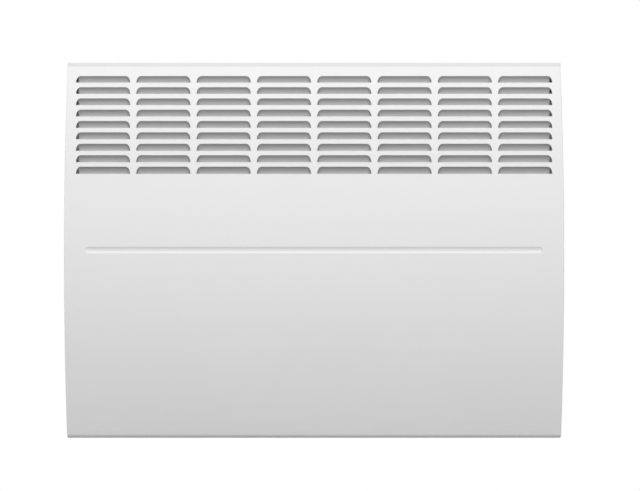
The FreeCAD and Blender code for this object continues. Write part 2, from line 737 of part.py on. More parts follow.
def element_fins():
    """The extruded aluminium body: a hub with crossed arms that end in upright fins."""
    axis = Vector(ELEMENT_LEFT, ELEMENT_Y, ELEMENT_Z)
    run = Vector(ELEMENT_LENGTH, 0, 0)
    pieces = [Part.makeCylinder(HUB_RADIUS, ELEMENT_LENGTH, axis, run)]
    for angle in (ARM_ANGLE, -ARM_ANGLE):
        arm = block((0, ELEMENT_LENGTH), around(0, 2 * ARM_LENGTH), around(0, ARM_THICKNESS))
        pieces.append(placed(arm, Placement(axis, Rotation(Vector(1, 0, 0), angle))))
    tip = ARM_LENGTH * math.cos(math.radians(ARM_ANGLE))
    for share in (-1, -0.5, 0.5, 1):
        for end in (-1, 1):
            low = FIN_LOW if abs(share) == 1 else INNER_FIN_LOW
            fin = block((0, ELEMENT_LENGTH), around(share * tip, FIN_THICKNESS), (end * low, end * FIN_HIGH))
            pieces.append(placed(fin, Placement(axis, Rotation())))
    body = joined(pieces)
    return body.cut(Part.makeCylinder(ROD_RADIUS + HOLE_CLEARANCE, ELEMENT_LENGTH, axis, run))


def element_rod():
    start = Vector(ELEMENT_LEFT - ROD_OVERHANG, ELEMENT_Y, ELEMENT_Z)
    return bar(ROD_RADIUS, start, Vector(ELEMENT_RIGHT + ROD_OVERHANG, ELEMENT_Y, ELEMENT_Z))


def rod_ends():
    """Each end of the rod as (point, outward direction)."""
    left = Vector(ELEMENT_LEFT - ROD_OVERHANG, ELEMENT_Y, ELEMENT_Z)
    right = Vector(ELEMENT_RIGHT + ROD_OVERHANG, ELEMENT_Y, ELEMENT_Z)
    return [(left, Vector(-1, 0, 0)), (right, Vector(1, 0, 0))]


def element_seals():
    """The ceramic bead that closes each end of the rod."""
    beads = []
    for point, out in rod_ends():
        bead = bar(SEAL_RADIUS, point, point + out * SEAL_LENGTH)
        beads.append(bead.cut(bar(PIN_RADIUS + HOLE_CLEARANCE, point, point + out * SEAL_LENGTH)))
    return Part.makeCompound(beads)


def element_pins():
    """The terminal pin at each end of the rod."""
    return Part.makeCompound([bar(PIN_RADIUS, p, p + out * PIN_LENGTH) for p, out in rod_ends()])


def element_bracket(outer_x, out):
    """A sheet bracket that carries one end of the rod: a plate across X and a foot on the rear panel."""
    front = ELEMENT_Y - BUSH_FLANGE_RADIUS - ELEMENT_BRACKET_SHEET
    span_z = around(ELEMENT_Z, ELEMENT_BRACKET_HEIGHT)
    plate = block((outer_x - out * ELEMENT_BRACKET_SHEET, outer_x), (front, PANEL_FRONT), span_z)
    plate = rounded_along(
        plate, Vector(1, 0, 0), ELEMENT_BRACKET_CORNER, lambda edge: edge.Vertexes[0].Point.y < ELEMENT_Y
    )
    on_panel = (PANEL_FRONT - ELEMENT_BRACKET_SHEET, PANEL_FRONT)
    foot = block((outer_x, outer_x + out * ELEMENT_FOOT), on_panel, span_z)
    middle = Vector(outer_x, ELEMENT_Y, ELEMENT_Z)
    reach = Vector(2 * ELEMENT_BRACKET_SHEET, 0, 0)
    cuts = [bar(BUSH_RADIUS + HOLE_CLEARANCE, middle - reach, middle + reach)]
    cuts += rivet_cutters()
    return joined([plate, foot]).cut(cuts)


def rivet_cutters():
    """Cutters for every rivet, reaching through what lies on the rear panel."""
    reach = 2 * max(ELEMENT_BRACKET_SHEET, SHIELD_SHEET, BAY_SHEET)
    cutters = []
    for x, z, grip in rivet_places():
        start = Vector(x, PANEL_FRONT - reach, z)
        cutters.append(bar(RIVET_RADIUS + HOLE_CLEARANCE, start, Vector(x, PANEL_FRONT + reach, z)))
    return cutters


def element_bushes():
    """The insulating bush in each bracket: a sleeve with a flange on the bracket's outer face."""
    bushes = []
    for outer_x, out in ((left_bracket_x(), -1), (right_bracket_x(), 1)):
        face = Vector(outer_x, ELEMENT_Y, ELEMENT_Z)
        step = Vector(out, 0, 0)
        sleeve = bar(BUSH_RADIUS, face + step * BUSH_FLANGE, face + step * (BUSH_FLANGE - BUSH_LENGTH))
        flange = bar(BUSH_FLANGE_RADIUS, face, face + step * BUSH_FLANGE)
        bore = bar(ROD_RADIUS + HOLE_CLEARANCE, face - step * BUSH_LENGTH, face + step * BUSH_LENGTH)
        bushes.append(joined([sleeve, flange]).cut(bore))
    return Part.makeCompound(bushes)


def shield_left():
    return left_bracket_x() + ELEMENT_BRACKET_SHEET + SHIELD_END_GAP


def shield_right():
    return right_bracket_x() - ELEMENT_BRACKET_SHEET - SHIELD_END_GAP


def heat_shield():
    """A hat-section reflector riveted to the rear panel behind the element."""
    low, high = around(ELEMENT_Z, SHIELD_HEIGHT)
    x = (shield_left(), shield_right())
    back = (PANEL_FRONT - SHIELD_SHEET, PANEL_FRONT)
    pieces = [
        block(x, (SHIELD_Y, SHIELD_Y + SHIELD_SHEET), (low, high)),
        block(x, (SHIELD_Y, PANEL_FRONT), (low, low + SHIELD_SHEET)),
        block(x, (SHIELD_Y, PANEL_FRONT), (high - SHIELD_SHEET, high)),
        block(x, back, (low - SHIELD_FOOT, low + SHIELD_SHEET)),
        block(x, back, (high - SHIELD_SHEET, high + SHIELD_FOOT)),
    ]
    cuts = rivet_cutters()
    for hole_x, hole_z in cutout_screw_places():
        start = Vector(hole_x, SHIELD_Y - SHIELD_SHEET, hole_z)
        cuts.append(bar(SCREW_RADIUS + HOLE_CLEARANCE, start, start + Vector(0, 3 * SHIELD_SHEET, 0)))
    return joined(pieces).cut(cuts)


def cutout_screw_places():
    """The (x, z) of the two screws of the overheat cut-out."""
    z = ELEMENT_Z + CUTOUT_RISE
    return [(x, z) for x in around(CUTOUT_X, CUTOUT_EAR_HOLES)]


def thermal_cutout():
    """A disc cut-out on an eared plate, with two tabs on its front."""
    z = ELEMENT_Z + CUTOUT_RISE
    on_shield = (SHIELD_Y - CUTOUT_EAR_SHEET, SHIELD_Y)
    ears = block(around(CUTOUT_X, CUTOUT_EAR_LENGTH), on_shield, around(z, CUTOUT_EAR_WIDTH))
    base = Vector(CUTOUT_X, SHIELD_Y, z)
    face = SHIELD_Y - CUTOUT_HEIGHT
    body = bar(CUTOUT_RADIUS, base, Vector(CUTOUT_X, face, z))
    tab_span = (cutout_tab_end(), face + TAB_ROOT)
    tabs = [block(around(x, TAB_SHEET), tab_span, around(z, TAB_WIDTH)) for x in cutout_tabs()]
    holes = []
    for hole_x, hole_z in cutout_screw_places():
        start = Vector(hole_x, SHIELD_Y - 2 * CUTOUT_EAR_SHEET, hole_z)
        holes.append(bar(SCREW_RADIUS + HOLE_CLEARANCE, start, Vector(hole_x, SHIELD_Y, hole_z)))
    return joined([ears, body] + tabs).cut(holes)


def cutout_tabs():
    """The x of the cut-out's two tabs."""
    return around(CUTOUT_X, TAB_SPACING)


def screw_along_y(x, z, seat, point_y, turn):
    """A pan-head screw whose head sits on y = seat and whose shank reaches point_y."""
    shank = bar(SCREW_RADIUS, Vector(x, seat + turn * SCREW_HEAD_HEIGHT / 2, z), Vector(x, point_y, z))
    head = bar(SCREW_HEAD_RADIUS, Vector(x, seat, z), Vector(x, seat + turn * SCREW_HEAD_HEIGHT, z))
    rim = [e for e in head.Edges if isinstance(e.Curve, Part.Circle) and abs(e.Curve.Center.y - seat) > NEAR]
    head = head.makeFillet(SCREW_HEAD_HEIGHT / 2, rim)
    return joined([head, shank])


def cutout_screws():
    seat = SHIELD_Y - CUTOUT_EAR_SHEET
    point = SHIELD_Y + SHIELD_SHEET + 2 * SLIP_CLEARANCE
    return Part.makeCompound([screw_along_y(x, z, seat, point, -1) for x, z in cutout_screw_places()])


def panel_rivets():
    """The rivets that hold the brackets, shield and partition to the rear panel."""
    rivets = []
    for x, z, grip in rivet_places():
        front = PANEL_FRONT - grip
        shank = bar(RIVET_RADIUS, Vector(x, front, z), Vector(x, PANEL_BACK, z))
        inner = bar(RIVET_HEAD_RADIUS, Vector(x, front - RIVET_HEAD_HEIGHT, z), Vector(x, front, z))
        outer = bar(RIVET_HEAD_RADIUS, Vector(x, PANEL_BACK, z), Vector(x, PANEL_BACK + RIVET_HEAD_HEIGHT, z))
        rivets.append(joined([shank, inner, outer]))
    return Part.makeCompound(rivets)


def cover_screws():
    point = PANEL_BACK - SCREW_LENGTH
    return Part.makeCompound([screw_along_y(x, z, PANEL_BACK, point, 1) for x, z in cover_screw_places()])


# Control bay
def bay_outline(x, low, high):
    """A face across X from the rear panel to just behind the bow, between two heights."""
    inset = COVER_SHEET + BOW_CLEARANCE
    middle = (low + high) / 2
    back_low = Vector(x, PANEL_FRONT, low)
    back_high = Vector(x, PANEL_FRONT, high)
    front_low = Vector(x, bow_y(low, inset), low)
    front_high = Vector(x, bow_y(high, inset), high)
    front_middle = Vector(x, bow_y(middle, inset), middle)
    outline = Part.Wire(
        [
            Part.makeLine(back_low, back_high),
            Part.makeLine(back_high, front_high),
            Part.Arc(front_high, front_middle, front_low).toShape(),
            Part.makeLine(front_low, back_low),
        ]
    )
    return Part.Face(outline)


def grommet_places():
    """The (y, z) of the two wire grommets in the partition."""
    return [(WIRE_RUN_Y - GROMMET_HOLE, WIRE_RUN_Z), (cutout_tab_end() - LEAD, HEATER_GROMMET_Z)]


def cutout_tab_end():
    """The y of the ends of the cut-out's tabs."""
    return SHIELD_Y - CUTOUT_HEIGHT - TAB_LENGTH


def control_partition():
    """A sheet that keeps the hot air out of the control bay, with a roof and a riveted foot."""
    wall = bay_outline(BAY_X, BAY_FLOOR, BAY_TOP).extrude(Vector(BAY_SHEET, 0, 0))
    roof = bay_outline(BAY_X, BAY_TOP - BAY_SHEET, BAY_TOP).extrude(Vector(BAY_ROOF_END - BAY_X, 0, 0))
    foot = block(
        (BAY_X, BAY_X + BAY_SHEET + BAY_FOOT), (PANEL_FRONT - BAY_SHEET, PANEL_FRONT), (BAY_FLOOR, BAY_TOP)
    )
    cuts = rivet_cutters()
    for y, z in grommet_places():
        start = Vector(BAY_X - BAY_SHEET, y, z)
        cuts.append(bar(GROMMET_HOLE + HOLE_CLEARANCE, start, start + Vector(3 * BAY_SHEET, 0, 0)))
    return joined([wall, roof, foot]).cut(cuts)


def wire_grommets():
    """A rubber grommet in each hole of the partition."""
    grommets = []
    for y, z in grommet_places():
        start = Vector(BAY_X - GROMMET_RIM_SHEET, y, z)
        end = Vector(BAY_X + BAY_SHEET + GROMMET_RIM_SHEET, y, z)
        core = bar(GROMMET_HOLE, start, end)
        left = bar(GROMMET_HOLE + GROMMET_RIM, start, Vector(BAY_X, y, z))
        right = bar(GROMMET_HOLE + GROMMET_RIM, Vector(BAY_X + BAY_SHEET, y, z), end)
        bore = bar(WIRE_RADIUS + HOLE_CLEARANCE, start, end)
        grommets.append(joined([core, left, right]).cut(bore))
    return Part.makeCompound(grommets)


# Control fascia and what it carries
def switch_opening(grow):
    """The switch's opening in the fascia."""
    return block(
        (FASCIA_BACK - FASCIA_SKIRT, FASCIA_FACE + FASCIA_WALL),
        around(FASCIA_Y, SWITCH_WIDTH + 2 * grow),
        around(SWITCH_Z, SWITCH_LENGTH + 2 * grow),
    )


def thermostat_screw_places():
    """The (y, z) of the two screws that hold the thermostat to the dish."""
    return [(y, KNOB_Z) for y in around(FASCIA_Y, 2 * THERMOSTAT_SCREW_REACH)]


def control_fascia():
    """The moulded plate in the cover's side: rim outside, skirt inside, knob dish and two snaps."""
    rim = block(
        (SIDE, FASCIA_FACE),
        around(FASCIA_Y, FASCIA_DEPTH + 2 * FASCIA_RIM),
        around(FASCIA_Z, FASCIA_HEIGHT + 2 * FASCIA_RIM),
    )
    rim = rounded_along(rim, Vector(1, 0, 0), FASCIA_CORNER + FASCIA_RIM)
    edge = [e for e in rim.Edges if all(abs(v.Point.x - FASCIA_FACE) < NEAR for v in e.Vertexes)]
    rim = rim.makeFillet(min(FASCIA_EDGE, FASCIA_RIM_SHEET / 2), edge)
    plug = fascia_opening(-SLIP_CLEARANCE)
    hollow = fascia_opening(-SLIP_CLEARANCE - FASCIA_WALL)
    hollow.translate(Vector(FASCIA_BACK - FASCIA_FACE, 0, 0))
    axis_back = Vector(DISH_BACK, FASCIA_Y, KNOB_Z)
    cup = bar(DISH_RADIUS + FASCIA_WALL, axis_back, Vector(SIDE, FASCIA_Y, KNOB_Z))
    cup = cup.common(fascia_opening(-SLIP_CLEARANCE))
    snaps = []
    for end in (-1, 1):
        z = FASCIA_Z + end * (FASCIA_HEIGHT / 2 - SLIP_CLEARANCE)
        catch = SIDE - COVER_SHEET - HOLE_CLEARANCE
        outline = [
            Vector(catch, FASCIA_Y - SNAP_LENGTH / 2, z - end * FASCIA_WALL / 2),
            Vector(catch, FASCIA_Y - SNAP_LENGTH / 2, z + end * SNAP_HOOK),
            Vector(catch - SNAP_HEIGHT, FASCIA_Y - SNAP_LENGTH / 2, z),
            Vector(catch - SNAP_HEIGHT, FASCIA_Y - SNAP_LENGTH / 2, z - end * FASCIA_WALL / 2),
        ]
        snaps.append(prism(outline, Vector(0, SNAP_LENGTH, 0)))
    body = joined([rim, plug.cut(hollow), cup] + snaps)
    outside = FASCIA_FACE + OVERSHOOT
    dish = bar(DISH_RADIUS, Vector(DISH_FLOOR, FASCIA_Y, KNOB_Z), Vector(outside, FASCIA_Y, KNOB_Z))
    hole_start = Vector(DISH_BACK - FASCIA_WALL, FASCIA_Y, KNOB_Z)
    spindle_hole = bar(SPINDLE_RADIUS + SLIP_CLEARANCE, hole_start, Vector(outside, FASCIA_Y, KNOB_Z))
    lamp_start = Vector(FASCIA_BACK - FASCIA_WALL, FASCIA_Y, LAMP_Z)
    lamp_hole = bar(LENS_RADIUS + HOLE_CLEARANCE, lamp_start, Vector(outside, FASCIA_Y, LAMP_Z))
    cuts = [dish, spindle_hole, lamp_hole, switch_opening(HOLE_CLEARANCE)]
    for y, z in thermostat_screw_places():
        start = Vector(DISH_BACK - FASCIA_WALL, y, z)
        cuts.append(bar(SCREW_RADIUS + HOLE_CLEARANCE, start, Vector(DISH_FLOOR + OVERSHOOT, y, z)))
    return body.cut(cuts)


def thermostat_knob():
    """A fluted dial with a raised grip bar, bored for the spindle."""
    base = Vector(KNOB_BASE, FASCIA_Y, KNOB_Z)
    body = bar(KNOB_RADIUS, base, base + Vector(KNOB_HEIGHT, 0, 0))
    rim = [e for e in body.Edges if isinstance(e.Curve, Part.Circle) and e.Curve.Center.x > KNOB_BASE + NEAR]
    body = body.makeFillet(KNOB_EDGE, rim)
    flutes = []
    for i in range(KNOB_FLUTES):
        angle = 2 * math.pi * (i + 0.5) / KNOB_FLUTES
        out = Vector(0, math.cos(angle), math.sin(angle)) * (KNOB_RADIUS + KNOB_FLUTE_RADIUS / 2)
        flutes.append(bar(KNOB_FLUTE_RADIUS, base + out, base + out + Vector(KNOB_HEIGHT + OVERSHOOT, 0, 0)))
    face = base + Vector(KNOB_HEIGHT, 0, 0)
    well = bar(KNOB_WELL_RADIUS, face - Vector(KNOB_GRIP_RISE, 0, 0), face + Vector(OVERSHOOT, 0, 0))
    grip = block(around(0, 2 * KNOB_HEIGHT), around(0, KNOB_GRIP_WIDTH), around(0, 2 * KNOB_RADIUS))
    grip = placed(grip, Placement(face, Rotation(Vector(1, 0, 0), -KNOB_REST_ANGLE)))
    bore = bar(SPINDLE_RADIUS + RUNNING_CLEARANCE, base, base + Vector(SPINDLE_SEAT, 0, 0))
    return body.cut(flutes + [well.cut(grip), bore])


def thermostat_spindle():
    """The spindle that the knob turns, with its cam behind the thermostat."""
    end = Vector(KNOB_BASE + SPINDLE_SEAT, FASCIA_Y, KNOB_Z)
    cam_face = THERMOSTAT_BACK - SLIP_CLEARANCE
    tail = Vector(cam_face - CAM_THICKNESS - SPINDLE_TAIL, FASCIA_Y, KNOB_Z)
    shaft = bar(SPINDLE_RADIUS, tail, end)
    start = Vector(cam_face - CAM_THICKNESS, FASCIA_Y, KNOB_Z)
    cam = bar(CAM_RADIUS, start, Vector(cam_face, FASCIA_Y, KNOB_Z))
    throw = Vector(0, 0, CAM_THROW)
    lobe = bar(CAM_RADIUS - CAM_THROW / 2, start + throw, Vector(cam_face, FASCIA_Y, KNOB_Z) + throw)
    return joined([shaft, cam, lobe])


def thermostat_tabs():
    """The (y, z) of the thermostat's two tabs."""
    z = KNOB_Z - THERMOSTAT_TAB_RISE
    return [(y, z) for y in around(FASCIA_Y, THERMOSTAT_WIDTH - TAB_SPACING)]


def thermostat_base():
    """The moulded block of the thermostat, with its two tabs, on the back of the dish."""
    span_y = around(FASCIA_Y, THERMOSTAT_WIDTH)
    body = block((THERMOSTAT_BACK, DISH_BACK), span_y, around(KNOB_Z, THERMOSTAT_HEIGHT))
    body = rounded_along(body, Vector(1, 0, 0), FASCIA_WALL)
    tabs = []
    tab_span = (THERMOSTAT_BACK - TAB_LENGTH, THERMOSTAT_BACK + TAB_ROOT)
    for y, z in thermostat_tabs():
        tabs.append(block(tab_span, around(y, TAB_SHEET), around(z, TAB_WIDTH)))
    bore_start = Vector(THERMOSTAT_BACK - OVERSHOOT, FASCIA_Y, KNOB_Z)
    bore_end = Vector(DISH_BACK + OVERSHOOT, FASCIA_Y, KNOB_Z)
    cuts = [bar(SPINDLE_RADIUS + RUNNING_CLEARANCE, bore_start, bore_end)]
    for y, z in thermostat_screw_places():
        start = Vector(DISH_BACK - SCREW_LENGTH, y, z)
        cuts.append(bar(SCREW_RADIUS + HOLE_CLEARANCE, start, Vector(DISH_BACK + OVERSHOOT, y, z)))
    return joined([body] + tabs).cut(cuts)


def thermostat_screws():
    screws = []
    for y, z in thermostat_screw_places():
        seat = Vector(DISH_FLOOR, y, z)
        shank = bar(SCREW_RADIUS, Vector(DISH_BACK - SCREW_LENGTH + SLIP_CLEARANCE, y, z), seat)
        head = bar(SCREW_HEAD_RADIUS, seat, seat + Vector(KNOB_FLOOR_GAP - SLIP_CLEARANCE, 0, 0))
        screws.append(joined([shank, head]))
    return Part.makeCompound(screws)


def thermostat_bimetal():
    """The bimetal strip that rides on the cam: a foot on the block's back and a blade beside the cam."""
    blade_z = KNOB_Z + CAM_RADIUS + CAM_THROW / 2 + SLIP_CLEARANCE
    back = THERMOSTAT_BACK
    blade = block(
        (back - BIMETAL_REACH, back), around(FASCIA_Y, BIMETAL_WIDTH), (blade_z, blade_z + BIMETAL_SHEET)
    )
    foot = block(
        (back - BIMETAL_SHEET, back), around(FASCIA_Y, BIMETAL_WIDTH), (blade_z, blade_z + BIMETAL_FOOT)
    )
    return joined([blade, foot])


def switch_pocket():
    """The hollow in the switch that the rocker tips in."""
    return block(
        (FASCIA_FACE - 2 * ROCKER_PIVOT_DEPTH, FASCIA_FACE + 2 * SWITCH_BEZEL_SHEET),
        around(FASCIA_Y, SWITCH_WIDTH - 2 * SWITCH_WALL),
        around(SWITCH_Z, SWITCH_LENGTH - 2 * SWITCH_WALL),
    )


def switch_tabs():
    """The z of the switch's two tabs."""
    return around(SWITCH_Z, TAB_SPACING)


def switch_body():
    """The switch's housing with its bezel and tabs, bored for the rocker's trunnions."""
    back = FASCIA_FACE - SWITCH_DEPTH
    body = block((back, FASCIA_FACE), around(FASCIA_Y, SWITCH_WIDTH), around(SWITCH_Z, SWITCH_LENGTH))
    bezel = block(
        (FASCIA_FACE, FASCIA_FACE + SWITCH_BEZEL_SHEET),
        around(FASCIA_Y, SWITCH_WIDTH + 2 * SWITCH_BEZEL),
        around(SWITCH_Z, SWITCH_LENGTH + 2 * SWITCH_BEZEL),
    )
    bezel = rounded_along(bezel, Vector(1, 0, 0), SWITCH_BEZEL)
    tab_span = (back - TAB_LENGTH, back + TAB_ROOT)
    tabs = [block(tab_span, around(FASCIA_Y, TAB_WIDTH), around(z, TAB_SHEET)) for z in switch_tabs()]
    reach = Vector(0, SWITCH_WIDTH / 2 - SWITCH_WALL + TRUNNION_LENGTH + RUNNING_CLEARANCE, 0)
    pivot = Vector(PIVOT_X, FASCIA_Y, SWITCH_Z)
    trunnions = bar(TRUNNION_RADIUS + RUNNING_CLEARANCE, pivot - reach, pivot + reach)
    return joined([body, bezel] + tabs).cut([switch_pocket(), trunnions])


def switch_rocker():
    """The rocker, tipped to its off side: two pads in a shallow valley, a keel and two trunnions."""
    half = SWITCH_LENGTH / 2 - SWITCH_WALL - ROCKER_END_GAP
    depth = SWITCH_WIDTH - 2 * SWITCH_WALL - 2 * ROCKER_GAP
    face = ROCKER_PIVOT_DEPTH + SWITCH_BEZEL_SHEET - ROCKER_CROWN
    y = -depth / 2
    outline = [
        Vector(face - ROCKER_CROWN, y, 0),
        Vector(face + ROCKER_CROWN, y, half),
        Vector(face - ROCKER_PIVOT_DEPTH / 2, y, half),
        Vector(-ROCKER_KEEL, y, TRUNNION_RADIUS),
        Vector(-ROCKER_KEEL, y, -TRUNNION_RADIUS),
        Vector(face - ROCKER_PIVOT_DEPTH / 2, y, -half),
        Vector(face + ROCKER_CROWN, y, -half),
    ]
    paddle = prism(outline, Vector(0, depth, 0))
    reach = Vector(0, SWITCH_WIDTH / 2 - SWITCH_WALL + TRUNNION_LENGTH - ROCKER_GAP, 0)
    rocker = joined([paddle, bar(TRUNNION_RADIUS, -reach, reach)])
    pivot = Vector(PIVOT_X, FASCIA_Y, SWITCH_Z)
    return placed(rocker, Placement(pivot, Rotation(Vector(0, 1, 0), ROCKER_ANGLE)))


def indicator_lens():
    """A rimmed lens with a shallow dome, pushed through the fascia."""
    face = Vector(FASCIA_FACE, FASCIA_Y, LAMP_Z)
    along = Vector(1, 0, 0)
    body = bar(LENS_RADIUS, face - along * LENS_BODY, face)
    rim = bar(LENS_RIM_RADIUS, face, face + along * LENS_RIM)
    dome_radius = (LENS_RADIUS**2 + LENS_DOME**2) / (2 * LENS_DOME)
    ball = Part.makeSphere(dome_radius, face + along * (LENS_RIM + LENS_DOME - dome_radius))
    crown = face + along * (LENS_RIM + LENS_DOME)
    cap = ball.common(bar(LENS_RIM_RADIUS, face + along * LENS_RIM / 2, crown))
    return joined([body, rim, cap])


def indicator_lamp():
    """The lamp holder behind the lens."""
    start = Vector(FASCIA_FACE - LENS_BODY, FASCIA_Y, LAMP_Z)
    return bar(LAMP_RADIUS, start - Vector(LAMP_LENGTH, 0, 0), start)


# Mains connection
def pole_x(pole):
    """The x of one of the terminal block's three poles, numbered from -1 to 1."""
    return BLOCK_X + pole * POLE_PITCH


def terminal_block():
    """A three-pole block with screw wells in its front and wire mouths above and below."""
    front = PANEL_FRONT - BLOCK_DEPTH
    body = block(around(BLOCK_X, BLOCK_LENGTH), (front, PANEL_FRONT), around(BLOCK_Z, BLOCK_HEIGHT))
    body = rounded_along(body, Vector(0, 1, 0), FASCIA_WALL)
    cuts = []
    for x, z in pole_screw_places():
        well_end = Vector(x, front + POLE_SCREW_DEPTH, z)
        cuts.append(bar(POLE_SCREW_RADIUS + HOLE_CLEARANCE, Vector(x, front - OVERSHOOT, z), well_end))
    for pole in (-1, 0, 1):
        for end in (-1, 1):
            mouth = Vector(pole_x(pole), PANEL_FRONT - BLOCK_DEPTH / 2, BLOCK_Z + end * BLOCK_HEIGHT / 2)
            outside = mouth + Vector(0, 0, end * OVERSHOOT)
            cuts.append(bar(POLE_MOUTH_RADIUS, outside, mouth - Vector(0, 0, end * POLE_MOUTH_DEPTH)))
    for x, z in block_screw_places():
        behind = Vector(x, PANEL_FRONT + OVERSHOOT, z)
        cuts.append(bar(SCREW_RADIUS + HOLE_CLEARANCE, Vector(x, front - OVERSHOOT, z), behind))
    return body.cut(cuts)


def pole_screw_places():
    """The (x, z) of the block's six clamping screws."""
    places = []
    for pole in (-1, 0, 1):
        for z in around(BLOCK_Z, 2 * POLE_SCREW_SPREAD):
            places.append((pole_x(pole), z))
    return places


def pole_screws():
    """The slotted clamping screws of the terminal block."""
    floor = PANEL_FRONT - BLOCK_DEPTH + POLE_SCREW_DEPTH
    screws = []
    for x, z in pole_screw_places():
        face = floor - POLE_SCREW_HEIGHT
        screw = bar(POLE_SCREW_RADIUS, Vector(x, face, z), Vector(x, floor, z))
        depth = (face - OVERSHOOT, face + POLE_SLOT_DEPTH)
        slot = block(around(x, POLE_SLOT_WIDTH), depth, around(z, 4 * POLE_SCREW_RADIUS))
        screws.append(screw.cut(slot))
    return Part.makeCompound(screws)


def block_screws():
    seat = PANEL_FRONT - BLOCK_DEPTH
    point = PANEL_BACK + 2 * SLIP_CLEARANCE
    return Part.makeCompound([screw_along_y(x, z, seat, point, -1) for x, z in block_screw_places()])


def cable_gland():
    """The bush that the mains cable comes in through, flanged on the wall side."""
    outside = Vector(BLOCK_X, PANEL_BACK + GLAND_FLANGE, GLAND_Z)
    seat = Vector(BLOCK_X, PANEL_BACK, GLAND_Z)
    inside = Vector(BLOCK_X, PANEL_FRONT - GLAND_REACH, GLAND_Z)
    flange = bar(GLAND_FLANGE_RADIUS, seat, outside)
    circles = [e for e in flange.Edges if isinstance(e.Curve, Part.Circle)]
    rim = [e for e in circles if e.Curve.Center.y > PANEL_BACK + NEAR]
    flange = flange.makeFillet(min(GLAND_EDGE, GLAND_FLANGE / 2), rim)
    body = bar(GLAND_RADIUS, inside, outside - Vector(0, GLAND_FLANGE / 2, 0))
    return joined([flange, body]).cut(bar(GLAND_BORE, inside, outside))


def gland_nut():
    nut = hexagon_along_y(GLAND_NUT_ACROSS, BLOCK_X, GLAND_Z, PANEL_FRONT - GLAND_NUT_HEIGHT, PANEL_FRONT)
    start = Vector(BLOCK_X, PANEL_FRONT - GLAND_NUT_HEIGHT, GLAND_Z)
    return nut.cut(bar(GLAND_RADIUS + HOLE_CLEARANCE, start, Vector(BLOCK_X, PANEL_FRONT, GLAND_Z)))


def earth_stud():
    x, z = earth_place()
    head = bar(EARTH_RADIUS * 2, Vector(x, PANEL_BACK, z), Vector(x, PANEL_BACK + EARTH_RADIUS, z))
    shank = bar(EARTH_RADIUS, Vector(x, PANEL_BACK, z), Vector(x, PANEL_FRONT - EARTH_LENGTH, z))
    return joined([head, shank])


def earth_nuts():
    """The nut that holds the stud and the nut that holds the tag, with the tag between them."""
    x, z = earth_place()
    nuts = []
    for face in (PANEL_FRONT, PANEL_FRONT - EARTH_NUT_HEIGHT - EARTH_TAG_SHEET):
        nut = hexagon_along_y(EARTH_NUT_ACROSS, x, z, face - EARTH_NUT_HEIGHT, face)
        bore = bar(EARTH_RADIUS + HOLE_CLEARANCE, Vector(x, face - EARTH_NUT_HEIGHT, z), Vector(x, face, z))
        nuts.append(nut.cut(bore))
    return Part.makeCompound(nuts)


def earth_tag_end():
    """Where the earth wire meets its tag."""
    x, z = earth_place()
    y = PANEL_FRONT - EARTH_NUT_HEIGHT - EARTH_TAG_SHEET / 2
    return Vector(x, y, z - EARTH_TAG_REACH)


def earth_tag():
    """The ring tag on the end of the earth wire."""
    x, z = earth_place()
    y = (PANEL_FRONT - EARTH_NUT_HEIGHT - EARTH_TAG_SHEET, PANEL_FRONT - EARTH_NUT_HEIGHT)
    ring = bar(EARTH_TAG_RADIUS, Vector(x, y[0], z), Vector(x, y[1], z))
    tail = block(around(x, 2 * WIRE_RADIUS), y, (z - EARTH_TAG_REACH, z))
    bore = bar(EARTH_RADIUS + HOLE_CLEARANCE, Vector(x, y[0], z), Vector(x, y[1], z))
    return joined([ring, tail]).cut(bore)


# Wiring
def wire(points):
    """A round lead through points: straight runs joined by tangent arcs."""
    edges = []
    start = points[0]
    for before, corner, after in zip(points, points[1:], points[2:]):
        come = corner - before
        leave = after - corner
        turn = come.getAngle(leave)
        half_turn = math.tan(turn / 2)
        radius = min(BEND_SHARE * min(come.Length, leave.Length) / half_turn, WIRE_BEND)
        tangent = radius * half_turn
        come.normalize()
        leave.normalize()
        arc_start = corner - come * tangent
        arc_end = corner + leave * tangent
        inward = (leave - come).normalize()
        middle = corner + inward * (radius / math.cos(turn / 2) - radius)
        edges.append(Part.makeLine(start, arc_start))
        edges.append(Part.Arc(arc_start, middle, arc_end).toShape())
        start = arc_end
    edges.append(Part.makeLine(start, points[-1]))
    path = Part.Wire(edges)
    section = Part.Wire(Part.makeCircle(WIRE_RADIUS, points[0], points[1] - points[0]))
    return path.makePipeShell([section], True, False)


def pole_mouth(pole, end):
    """The floor of a wire mouth in the terminal block, end being 1 above and -1 below."""
    z = BLOCK_Z + end * (BLOCK_HEIGHT / 2 - POLE_MOUTH_DEPTH)
    return Vector(pole_x(pole), PANEL_FRONT - BLOCK_DEPTH / 2, z)


def live_wire():
    """From the block's live pole to the switch."""
    start = pole_mouth(0, 1)
    end = Vector(FASCIA_FACE - SWITCH_DEPTH - TAB_LENGTH, FASCIA_Y, switch_tabs()[0])
    lead = Vector(-LEAD, 0, 0)
    below = end + lead + Vector(0, SLACK, -2 * LEAD)
    return wire([start, start + Vector(0, 0, 2 * LEAD), below, end + lead, end])


def switched_wire():
    """From the switch to the thermostat."""
    start = Vector(FASCIA_FACE - SWITCH_DEPTH - TAB_LENGTH, FASCIA_Y, switch_tabs()[1])
    tab_y, tab_z = thermostat_tabs()[0]
    end = Vector(THERMOSTAT_BACK - TAB_LENGTH, tab_y, tab_z)
    lead = Vector(-LEAD, 0, 0)
    return wire([start, start + lead, end + lead, end])


